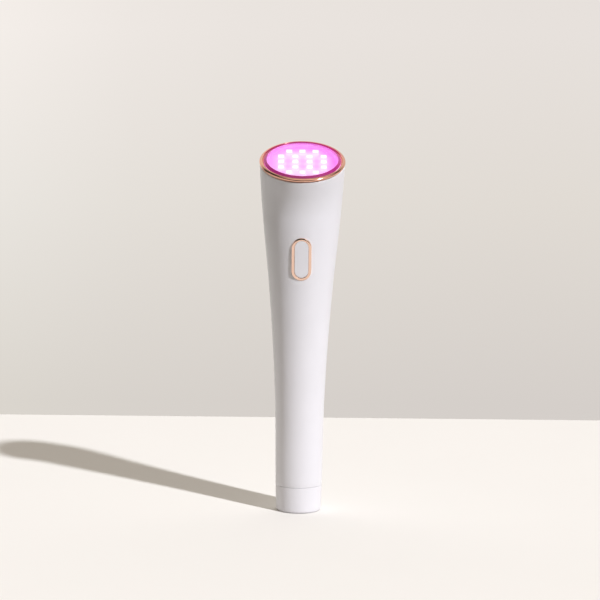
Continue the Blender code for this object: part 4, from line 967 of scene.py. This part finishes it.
def make_lamp_finishes():
    """The package is tinted pink and gets a painted pink glow for the resin's light on it; the resin is a
    little brighter than white.
    """
    package = lit_white("lamp_package_painted_pink", (0.62, 0.40, 0.62), (1.0, 0.42, 1.0), 0.85, 0.35)
    # Painted light: the package's glow, pink away from the cup and white beside it.
    pale = ramp(package, stored(package, "glow"), (0.0, PALE_PINK), (1.0, PURE_WHITE))
    feed(package, "Emission Color", pale)
    sockets = {"Base_Color": (0.95, 0.85, 0.95, 1.0), "Roughness": 0.12, "IOR": 1.5}
    resin = new_finish("lamp_resin_lit", Emission_Strength=RESIN_STRENGTH, **sockets)
    phosphor = grain(resin, 0.25, detail=2.0)
    feed(resin, "Emission Color", ramp(resin, phosphor, (0.3, (1.0, 0.86, 1.0)), (0.7, (1.0, 0.96, 1.0))))
    feed(resin, "Normal", bump(resin, phosphor, 0.01))
    return [package, resin]


def box_ring(spoke, inset):
    """The package's outline drawn in by an inset: in each direction the spoke of a circle of the corner's
    radius, added to that corner's centre. The centres stay where they are, whatever the inset."""
    centres = np.sign(spoke) * [LAMP_WIDTH / 2 - LAMP_CORNER, LAMP_LENGTH / 2 - LAMP_CORNER]
    return centres + spoke * (LAMP_CORNER - inset)


def lamp_rings():
    """Rings of one lamp, from the middle of its underside, up the sides and over the edge, across the
    face into the cup, and up over the resin's low dome. Returns points across, along and up."""
    turn = circle(LAMP_COLUMNS) + math.pi / LAMP_COLUMNS
    spoke = np.stack([np.sin(turn), -np.cos(turn)], axis=-1)
    outline = box_ring(spoke, 0.0)
    eased = box_ring(spoke, LAMP_EDGE)
    mid = outline + (eased - outline) * EDGE_SHARE
    cup_floor = LAMP_HEIGHT - CUP_DEPTH
    layers = [
        (outline * 0.0, 0.0), (outline, 0.0), (outline, LAMP_HEIGHT - LAMP_EDGE),
        (mid, LAMP_HEIGHT - EDGE_DROP), (eased, LAMP_HEIGHT),
        (spoke * (CUP_RADIUS + CUP_LIP), LAMP_HEIGHT), (spoke * CUP_RADIUS, cup_floor),
    ]
    for angle in quarter_turn(DOME_STEPS)[1:]:
        layers.append((spoke * CUP_RADIUS * math.cos(angle), cup_floor + DOME_RISE * math.sin(angle)))
    return np.stack([np.column_stack([ring, np.full(LAMP_COLUMNS, up)]) for ring, up in layers])


def make_lamps():
    """One lamp's rings, moved to each place; a point's radius and turn on the head are the length and the
    direction of its place across and along."""
    rings = lamp_rings()
    quads = ring_quads(len(rings), LAMP_COLUMNS, False)
    for number, (x, y) in enumerate(lamp_places, start=1):
        across = rings[..., 0] + x
        along = rings[..., 1] + y
        radius = np.hypot(across, along)
        points = on_head(radius, np.arctan2(across, -along), rings[..., 2] + LAMP_SEAT)
        name, node = f"lamp_{number:02d}", f"led_{number:02d}"
        lamp = lay_piece(name, points, quads, lamp_finishes, "wand_body", [node])
        mark_resin(lamp, x, y)


def mark_resin(lamp, x, y):
    """Gives the faces inside the cup the resin's finish, and stores the package's painted glow, which fades
    from 1 at the cup to 0 at the package's end."""
    halfway_up = LAMP_SEAT + LAMP_HEIGHT / 2
    across, along, up = in_head_frame(lamp, of_faces=True)
    inside = (np.hypot(across - x, along - y) < CUP_RADIUS - CUP_SLACK) & (up > halfway_up)
    lamp.data.polygons.foreach_set("material_index", inside.astype(np.int32))
    across, along, up = in_head_frame(lamp)
    fade = np.interp(np.hypot(across - x, along - y), (CUP_RADIUS, LAMP_LENGTH / 2), (1.0, 0.0))
    store(lamp, "glow", fade * (up > halfway_up))


lamp_finishes = make_lamp_finishes()
make_lamps()

# %% [markdown]
# ## Button rim
# The rim is a band that runs along a pill outline, with a wide rounded slope on its outside and a small
# round towards the button. Its top lies in one plane while the handle curves away under it, so the outer
# wall is deeper at the sides than at the ends. The cross-section is written once as insets and heights
# and carried along the outline, and only the rows that meet the handle take their height from the
# handle's wall.

# %% Make the button rim
RIM_WIDTH = 8.7
RIM_LENGTH = 19.3
RIM_BAND = 1.25
RIM_PROUD = 0.45
RIM_SLOPE = 0.85
RIM_INNER_ROUND = 0.22
SKIRT_INSET = 0.55
SKIRT_DEPTH = 2.3
SKIRT_EDGE = 0.08
SLOPE_STEPS = 8
PILL_COLUMNS = 120
FIT_GAP = 0.04


def pill_rings(width, length, insets, heights):
    """Rings of a cross-section carried along a pill outline: each point is the spine's point plus the
    spoke shortened by the row's inset. Heights are one number a row, or one a point."""
    spine, spoke = pill(width, length, PILL_COLUMNS)
    shares = 1 - np.asarray(insets, float)[:, None, None] / (width / 2)
    plane = spine[None] + spoke[None] * shares
    return plane[..., 0], plane[..., 1], np.broadcast_to(heights, plane.shape[:2])


def make_button_rim():
    """The slope is a quarter of an ellipse, from the wall up to the flat top, and the inner round a
    quarter of a circle, from there down to the button's gap."""
    quarter = quarter_turn(SLOPE_STEPS)
    slope_insets = RIM_SLOPE * (1 - np.cos(quarter))
    slope_heights = FIT_GAP + (RIM_PROUD - FIT_GAP) * np.sin(quarter)
    inner_insets = RIM_BAND - RIM_INNER_ROUND * (1 - np.sin(quarter))
    inner_heights = RIM_PROUD - RIM_INNER_ROUND * (1 - np.cos(quarter))
    insets = np.concatenate([
        [0.0], slope_insets, inner_insets,
        [RIM_BAND, RIM_BAND - SKIRT_EDGE, SKIRT_INSET + SKIRT_EDGE, SKIRT_INSET, SKIRT_INSET],
    ])
    heights = np.concatenate([
        [0.0], slope_heights, inner_heights,
        [SKIRT_EDGE - SKIRT_DEPTH, -SKIRT_DEPTH, -SKIRT_DEPTH, SKIRT_EDGE - SKIRT_DEPTH, 0.0],
    ])
    x, y, height = pill_rings(RIM_WIDTH, RIM_LENGTH, insets, heights[:, None])
    on_wall = wall_height(x, y) + FIT_GAP
    height = height.copy()
    height[[0, -1]] = on_wall[[0, -1]]
    height[1] = np.maximum(height[1], on_wall[1] + FIT_GAP)
    points = at_button(x, y, height)
    quads = ring_quads(len(insets), PILL_COLUMNS, True)
    return lay_piece("button_rim_band", points, quads, rose_gold, "wand_body", ["button_rim"])


make_button_rim()

# %% [markdown]
# ## Push button
# The button is a pill with a slightly crowned face and soft edges, held in by a flange under the handle's
# wall, with a short post that presses the switch. It is one skin from the middle of its face, over the
# edge, down its side, round the flange and in to the post's tip. It rides on its own body, since it
# travels half a millimetre when pressed.

# %% Make the push button
BUTTON_GAP = 0.06
BUTTON_PROUD = 0.40
BUTTON_CROWN = 0.05
BUTTON_EDGE = 0.12
FLANGE_REACH = 0.9
FLANGE_THICKNESS = 0.8
FLANGE_EDGE = 0.1
FLANGE_INNER = 0.6
POST_RADIUS = 1.5
POST_FILLET = 0.1
POST_EDGE = 0.15
PLUNGER_TIP = 10.75
FACE_RINGS = 9
EDGE_STEPS = 6


def make_button():
    """The face falls from its middle by the crown times the square of the way to the edge. Below the
    flange the rings are circles of the post's radius instead of pills."""
    width = RIM_WIDTH - 2 * (RIM_BAND + BUTTON_GAP)
    length = RIM_LENGTH - 2 * (RIM_BAND + BUTTON_GAP)
    half = width / 2
    flange_top = -SKIRT_DEPTH - SEAT_GAP
    flange_low = flange_top - FLANGE_THICKNESS
    tip = -((BUTTON_SURFACE - PLUNGER_TIP) / math.cos(BUTTON_FLARE) - SEAT_GAP)
    face = np.linspace(half, BUTTON_EDGE, FACE_RINGS)
    crown = BUTTON_PROUD - BUTTON_CROWN * ((half - face) / half) ** 2
    quarter = quarter_turn(EDGE_STEPS)[1:]
    edge_low = crown[-1] - BUTTON_EDGE
    eased_reach = -FLANGE_REACH + FLANGE_EDGE
    insets = np.concatenate([
        face, BUTTON_EDGE * (1 - np.sin(quarter)),
        [0.0, eased_reach, -FLANGE_REACH, -FLANGE_REACH, eased_reach, FLANGE_INNER],
    ])
    heights = np.concatenate([
        crown, edge_low + BUTTON_EDGE * np.cos(quarter),
        [flange_top, flange_top, flange_top - FLANGE_EDGE, flange_low + FLANGE_EDGE, flange_low, flange_low],
    ])
    x, y, height = pill_rings(width, length, insets, heights[:, None])
    spokes = np.stack([x[-1], y[-1]], axis=-1)
    spokes = spokes / np.linalg.norm(spokes, axis=1, keepdims=True)
    post = [
        (POST_RADIUS + POST_FILLET, flange_low), (POST_RADIUS, flange_low - POST_FILLET),
        (POST_RADIUS, tip + POST_EDGE), (POST_RADIUS - POST_EDGE, tip), (0.0, tip),
    ]
    x = np.concatenate([x] + [spokes[None, :, 0] * radius for radius, _ in post])
    y = np.concatenate([y] + [spokes[None, :, 1] * radius for radius, _ in post])
    height = np.concatenate([height] + [np.full((1, PILL_COLUMNS), low) for _, low in post])
    points = at_button(x, y, height)
    quads = ring_quads(len(points), PILL_COLUMNS, False)
    return lay_piece("push_button", points, quads, button_white, "button", ["button_cap"])


make_button()

# %% [markdown]
# ## What the foot covers
# With the foot pulled off, a black plug shows in the end of the handle: its neck carries a rubber ring
# that grips the foot, two screws hold it, and the charging socket sits in its middle. The plug, screws
# and socket keep their solids' shapes, welded and shaded smooth with crisp edges. The rubber ring is
# turned again with a rounder section.

# %% Rubber ring, plug, screws and socket
O_RING_HEIGHT = 7.6
O_RING_SECTION = 1.0
O_RING_SQUEEZE = 0.12
O_RING_COLUMNS = 24
SOLID_WELD = 1e-6
FLAT_WITHIN = math.radians(0.5)


def make_o_ring():
    """A torus: a small circle carried round a large one."""
    outer = float(body_radius(CAP_HEIGHT)) - FOOT_WALL - O_RING_SQUEEZE
    around = circle(O_RING_COLUMNS)
    radius = outer - O_RING_SECTION / 2 + O_RING_SECTION / 2 * np.cos(around)
    height = O_RING_HEIGHT + O_RING_SECTION / 2 * np.sin(around)
    points = turned(np.stack([radius, height], axis=-1), FOOT_COLUMNS)
    quads = ring_quads(len(around), FOOT_COLUMNS, True)
    return lay_piece("foot_grip_ring", points, quads, grey_rubber, "wand_body", ["cap_o_ring"])


def smoothed_copy(node, name, finish):
    """The solid's own shape as a new piece: its loose triangles are welded, flat areas are rejoined, and
    only edges sharper than the smooth angle stay crisp."""
    mesh = frame["nodes"][node].data.copy()
    mesh.name = name
    shape = bmesh.new()
    shape.from_mesh(mesh)
    bmesh.ops.remove_doubles(shape, verts=shape.verts, dist=SOLID_WELD)
    bmesh.ops.dissolve_limit(shape, angle_limit=FLAT_WITHIN, verts=shape.verts, edges=shape.edges)
    shape.to_mesh(mesh)
    shape.free()
    mesh.materials.clear()
    mesh.materials.append(finish)
    print(f"{name}: {len(mesh.polygons)} faces")
    return let_ride(name, mesh, "wand_body", [node])


def brushed(name, colour, gloss, along=(1.0, 1.0, 0.06), size=0.4):
    """Plated metal with fine drawn lines: noise stretched along the lines feeds roughness and relief."""
    material = new_finish(name, Metallic=1.0)
    clouds = grain(material, 3.0, detail=2.0)
    tones = ramp(material, clouds, (0.3, shade(colour, 0.94)), (0.7, shade(colour, 1.04)))
    feed(material, "Base Color", tones)
    lines = grain(material, size, detail=4.0, stretch=along)
    feed(material, "Roughness", between(material, lines, gloss * 0.8, gloss * 1.25))
    feed(material, "Normal", bump(material, lines, 0.004))
    return material


grey_rubber = moulded(
    "grey_silicone_rubber", (0.42, 0.42, 0.43), 0.7, grain_size=0.1, depth=0.006, cloud=4.0, swing=0.05
)
plug_black = moulded(
    "black_plug_plastic", (0.035, 0.035, 0.04), 0.42, grain_size=0.18, depth=0.008, cloud=5.0, swing=0.12
)
plated_steel = brushed("plated_steel", (0.74, 0.74, 0.75), 0.24)
make_o_ring()
smoothed_copy("end_plug", "handle_end_plug", plug_black)
smoothed_copy("socket_shell", "charging_socket_shell", plated_steel)
smoothed_copy("socket_core", "charging_socket_tongue", plug_black)
smoothed_copy("plug_screw_front", "end_screw_front", plated_steel)
smoothed_copy("plug_screw_back", "end_screw_back", plated_steel)

# %% [markdown]
# ## Finishes for the works inside
# The parts inside the sleeve are never seen with the wand whole, and still get a real finish, so that
# the model can be opened or cut. Circuit boards show the faint weave of their glass cloth and copper
# tracks under the mask; the cell has a glossy shrink wrap; chips are dull moulded epoxy. Solids that a
# finer piece already stands for get their piece's finish too, so that no solid is left plain.

# %% Inner finishes
def circuit_board(name, mask, track):
    """Solder mask over tracks: thin lines of a brick pattern are lighter where copper lies under the
    mask, and a fine wave gives the glass cloth."""
    material = new_finish(name, IOR=1.5)
    place = object_place(material)
    bricks = {
        "Vector": place, "Scale": 1 / (6.0 * MM), "Mortar Size": 0.03,
        "Color1": (*mask, 1.0), "Color2": (*shade(mask, 1.1), 1.0), "Mortar": (*track, 1.0),
    }
    tracks = lay_node(material, "ShaderNodeTexBrick", bricks)
    feed(material, "Base Color", tracks.outputs["Color"])
    feed(material, "Roughness", between(material, grain(material, 0.8), 0.3, 0.42))
    cloth = {"Vector": place, "Scale": 1 / (1.5 * MM), "Distortion": 1.0}
    weave = lay_node(material, "ShaderNodeTexWave", cloth)
    feed(material, "Normal", bump(material, weave.outputs["Fac"], 0.01))
    return material


def soft_insulation(name, colour):
    return moulded(name, colour, 0.42, grain_size=0.3, depth=0.006, cloud=6.0, swing=0.08, Sheen_Weight=0.1)


inner_finishes = {
    "shell_white": handle_white,
    "cap_white": foot_white,
    "button_white": button_white,
    "rose_gold": rose_gold,
    "lens_clear": clear_acrylic,
    "reflector_plastic": reflector_painted_pink,
    "led_package": lamp_finishes[0],
    "board_white": board_white,
    "rubber": grey_rubber,
    "black_plastic": plug_black,
    "screw_steel": plated_steel,
    "grey_plastic": moulded("grey_chassis_plastic", (0.45, 0.46, 0.47), 0.55, depth=0.008, swing=0.03),
    "board_green": circuit_board("green_circuit_board", (0.02, 0.20, 0.09), (0.05, 0.30, 0.14)),
    "cell": moulded(
        "blue_cell_wrap", (0.05, 0.16, 0.45), 0.25, grain_size=0.8, depth=0.01, cloud=9.0, swing=0.06
    ),
    "nickel_strip": brushed("nickel_strip", (0.70, 0.68, 0.64), 0.34, along=(1.0, 0.08, 1.0)),
    "can_metal": brushed("plain_can_metal", (0.72, 0.72, 0.73), 0.28, along=(1.0, 1.0, 1.0)),
    "ferrite": moulded(
        "sintered_ferrite", (0.10, 0.10, 0.11), 0.62, grain_size=0.08, depth=0.015, cloud=1.5, swing=0.15
    ),
    "red_insulation": soft_insulation("red_wire_insulation", (0.62, 0.04, 0.03)),
    "black_insulation": soft_insulation("black_wire_insulation", (0.02, 0.02, 0.022)),
}
for part in frame["record"]["subparts"]:
    for slot in frame["nodes"][part["node"]].material_slots:
        slot.material = inner_finishes[part["material_slot"]]

# %% [markdown]
# ## Table
# The wand stands on a pale matt table whose far edge crosses the picture a little below the middle. The
# top is a thin slab with a fine paper-like grain. Camera and metal see the same pale colour. Light that
# bounces off it onto the wand finds a darker one, and black beyond about forty centimetres, as from a
# small table in a room, which keeps the wand's shaded side dark.

# %% Make the table
TABLE_BACK = 212.0
TABLE_FRONT = -1400.0
TABLE_SIDE = 1300.0
TABLE_THICKNESS = 18.0
TABLE_DROP = 0.02
TABLE_SEEN = (0.885, 0.862, 0.832)
TABLE_BOUNCE = (0.708, 0.690, 0.666)
BOUNCE_MIDDLE = (120.0, -120.0)
BOUNCE_REACH = (320.0, 420.0)


def make_table():
    """A slab as four rings of its corners, the first and last drawn in to a point."""
    corners = np.array([
        [-TABLE_SIDE, TABLE_FRONT], [TABLE_SIDE, TABLE_FRONT],
        [TABLE_SIDE, TABLE_BACK], [-TABLE_SIDE, TABLE_BACK],
    ])
    layers = [(0.0, -TABLE_THICKNESS), (1.0, -TABLE_THICKNESS), (1.0, -TABLE_DROP), (0.0, -TABLE_DROP)]
    points = [np.column_stack([corners * share, np.full(len(corners), up)]) for share, up in layers]
    quads = ring_quads(len(layers), len(corners), False)
    mesh = bpy.data.meshes.new("table_top")
    mesh.from_pydata((np.concatenate(points) * MM).tolist(), [], quads.tolist())
    mesh.materials.append(make_table_finish())
    table = bpy.data.objects.new("table_top", mesh)
    bpy.context.scene.collection.objects.link(table)
    return table


def far_from(material, place, middle, reach):
    """0 within the first reach of a point of the table, in mm, and 1 beyond the second."""
    away = lay_node(material, "ShaderNodeVectorMath", {}, operation="DISTANCE")
    material.node_tree.links.new(place, away.inputs[0])
    away.inputs[1].default_value = (middle[0] * MM, middle[1] * MM, 0.0)
    return from_to(material, away.outputs["Value"], reach[0] * MM, reach[1] * MM)


def make_table_finish():
    material = new_finish("pale_matt_table", Roughness=0.9, Specular_IOR_Level=0.0)
    clouds = grain(material, 60.0)
    seen = ramp(material, clouds, (0.3, shade(TABLE_SEEN, 0.997)), (0.7, shade(TABLE_SEEN, 1.003)))
    away = far_from(material, object_place(material), BOUNCE_MIDDLE, BOUNCE_REACH)
    bounced = ramp(material, away, (0.0, TABLE_BOUNCE), (1.0, (0.0, 0.0, 0.0)))
    path = lay_node(material, "ShaderNodeLightPath", {}).outputs
    feed(material, "Base Color", mix_colours(material, path["Is Diffuse Ray"], seen, bounced))
    feed(material, "Normal", bump(material, grain(material, 0.6), 0.01))
    return material


table = make_table()
print("table top, mm:", [round(size / MM) for size in table.dimensions])

# %% [markdown]
# ## Light
# One small strong lamp stands high to the right of the camera and throws a long crisp shadow to the
# left. The rest is a soft fill from overhead, from behind and, faintly, from the left. The camera and
# glass see a plain wall instead of that fill. Metal sees the same wall behind the wand, and in all other
# directions a studio of a few soft pale panels in the dark, because contrast makes plating look like
# metal.

# %% Lamp and surroundings
SUN_TOWARDS = (0.530, -0.539, 0.655)
SUN_COLOUR = (0.943, 0.958, 1.0)
SUN_STRENGTH = 3.10
SUN_WIDTH = math.radians(2.4)
FILL_PANELS = [
    ((0.0, 0.0, 1.0), 0.20, 1.00, (0.340, 0.272, 0.214)),
    ((0.0, 1.0, 0.0), 0.20, 0.70, (1.05, 1.05, 1.01)),
    ((-1.0, 0.0, 0.0), 0.30, 0.80, (0.170, 0.178, 0.145)),
]
STUDIO_PANELS = [
    ((0.15, -0.20, 0.97), 0.80, 0.94, (0.88, 0.82, 0.78)),
    ((0.88, 0.42, 0.12), 0.84, 0.96, (0.78, 0.72, 0.68)),
    ((-0.90, -0.42, 0.00), 0.65, 0.92, (0.52, 0.48, 0.46)),
    ((0.90, -0.42, 0.10), 0.65, 0.92, (0.68, 0.63, 0.60)),
]
WALL_STARTS = (0.30, 0.60)
WALL_LOW = -0.190
WALL_HIGH = -0.096
LEFT_WALL = [(0.0, (0.708, 0.672, 0.617)), (0.54, (0.823, 0.791, 0.745)), (1.0, (0.913, 0.863, 0.823))]
RIGHT_WALL = [(0.0, (0.665, 0.624, 0.591)), (0.54, (0.752, 0.708, 0.658)), (1.0, (0.799, 0.752, 0.716))]
WALL_LEFT = -0.076
WALL_RIGHT = 0.062
WALL_FADE = [(0.0, 0.0), (0.28, 0.56), (0.5, 0.79), (1.0, 1.0)]


def make_sun():
    lamp = bpy.data.lights.new("key_lamp", "SUN")
    lamp.energy = SUN_STRENGTH
    lamp.color = SUN_COLOUR
    lamp.angle = SUN_WIDTH
    sun = bpy.data.objects.new("key_lamp", lamp)
    sun.rotation_euler = Vector(SUN_TOWARDS).to_track_quat("Z", "Y").to_euler()
    bpy.context.scene.collection.objects.link(sun)
    return sun


def make_surroundings():
    """Three skies, picked by the kind of ray: fill light for bounced rays, the wall for camera and glass,
    and for metal the wall where the direction points back and the studio elsewhere."""
    world = bpy.data.worlds.new("studio")
    world.use_nodes = True
    bpy.context.scene.world = world
    background = world.node_tree.nodes["Background"]
    direction = lay_node(world, "ShaderNodeTexCoord", {}).outputs["Generated"]
    towards = lay_node(world, "ShaderNodeSeparateXYZ", {"Vector": direction}).outputs
    fill = sum_of_panels(world, direction, FILL_PANELS)
    studio = sum_of_panels(world, direction, STUDIO_PANELS)
    height = from_to(world, towards["Z"], WALL_LOW, WALL_HIGH)
    left_wall = ramp(world, height, *LEFT_WALL)
    right_wall = ramp(world, height, *RIGHT_WALL)
    greys = [(place, (share, share, share)) for place, share in WALL_FADE]
    fade = ramp(world, from_to(world, towards["X"], WALL_LEFT, WALL_RIGHT), *greys)
    wall = mix_colours(world, fade, left_wall, right_wall)
    path = lay_node(world, "ShaderNodeLightPath", {}).outputs
    seen = lay_node(world, "ShaderNodeMath", {}, operation="MAXIMUM")
    world.node_tree.links.new(path["Is Camera Ray"], seen.inputs[0])
    world.node_tree.links.new(path["Is Transmission Ray"], seen.inputs[1])
    lit = mix_colours(world, seen.outputs["Value"], fill, wall)
    behind = from_to(world, towards["Y"], *WALL_STARTS)
    lit = mix_colours(world, path["Is Glossy Ray"], lit, mix_colours(world, behind, studio, wall))
    world.node_tree.links.new(lit, background.inputs["Color"])
    return world


def sum_of_panels(world, towards, panels):
    """Adds soft light panels. Each is the direction of its middle, the cosines to it at which the panel
    starts and is full, and its colour."""
    total = None
    for middle, start, full, colour in panels:
        aim = lay_node(world, "ShaderNodeVectorMath", {}, operation="DOT_PRODUCT")
        world.node_tree.links.new(towards, aim.inputs[0])
        aim.inputs[1].default_value = Vector(middle).normalized()
        share = from_to(world, aim.outputs["Value"], start, full)
        panel = lay_node(world, "ShaderNodeVectorMath", {"Scale": share}, operation="SCALE")
        panel.inputs[0].default_value = colour
        if total is None:
            total = panel.outputs["Vector"]
            continue
        adding = lay_node(world, "ShaderNodeVectorMath", {}, operation="ADD")
        world.node_tree.links.new(total, adding.inputs[0])
        world.node_tree.links.new(panel.outputs["Vector"], adding.inputs[1])
        total = adding.outputs["Vector"]
    return total


make_sun()
make_surroundings()
bpy.context.scene.view_settings.view_transform = "Standard"
print("lamp towards", [round(v, 3) for v in SUN_TOWARDS])

# %% [markdown]
# ## Camera
# The camera stands 1.7 m back with a long lens, a little above the wand, and looks down by nine and a
# half degrees. The long lens keeps the wand's sides nearly parallel, as in a product photograph.

# %% Set up the camera
CAMERA_PLACE = (-12.07, -1709.4, 379.7)
CAMERA_YAW = math.radians(0.393)
CAMERA_PITCH = math.radians(9.455)
CAMERA_ROLL = math.radians(0.659)
FOCAL_IN_PIXELS = 3899.7
PICTURE_WIDTH = 600
SENSOR_WIDTH = 36.0
SIGHT_LIMIT = 20.0


def make_camera():
    """Turns the camera from straight down: up by the pitch, round by the yaw, about its own line of sight
    by the roll."""
    lens = bpy.data.cameras.new("camera")
    lens.sensor_width = SENSOR_WIDTH
    lens.lens = FOCAL_IN_PIXELS / PICTURE_WIDTH * SENSOR_WIDTH
    lens.clip_end = SIGHT_LIMIT
    camera = bpy.data.objects.new("camera", lens)
    aim = Matrix.Rotation(-CAMERA_YAW, 3, "Z") @ Matrix.Rotation(math.pi / 2 - CAMERA_PITCH, 3, "X")
    turn = aim @ Matrix.Rotation(CAMERA_ROLL, 3, "Z")
    camera.matrix_world = Matrix.Translation(Vector(CAMERA_PLACE) * MM) @ turn.to_4x4()
    bpy.context.scene.collection.objects.link(camera)
    bpy.context.scene.camera = camera
    return camera


camera = make_camera()
print("camera axes:", [[round(v, 4) for v in row] for row in camera.matrix_world.to_3x3()])
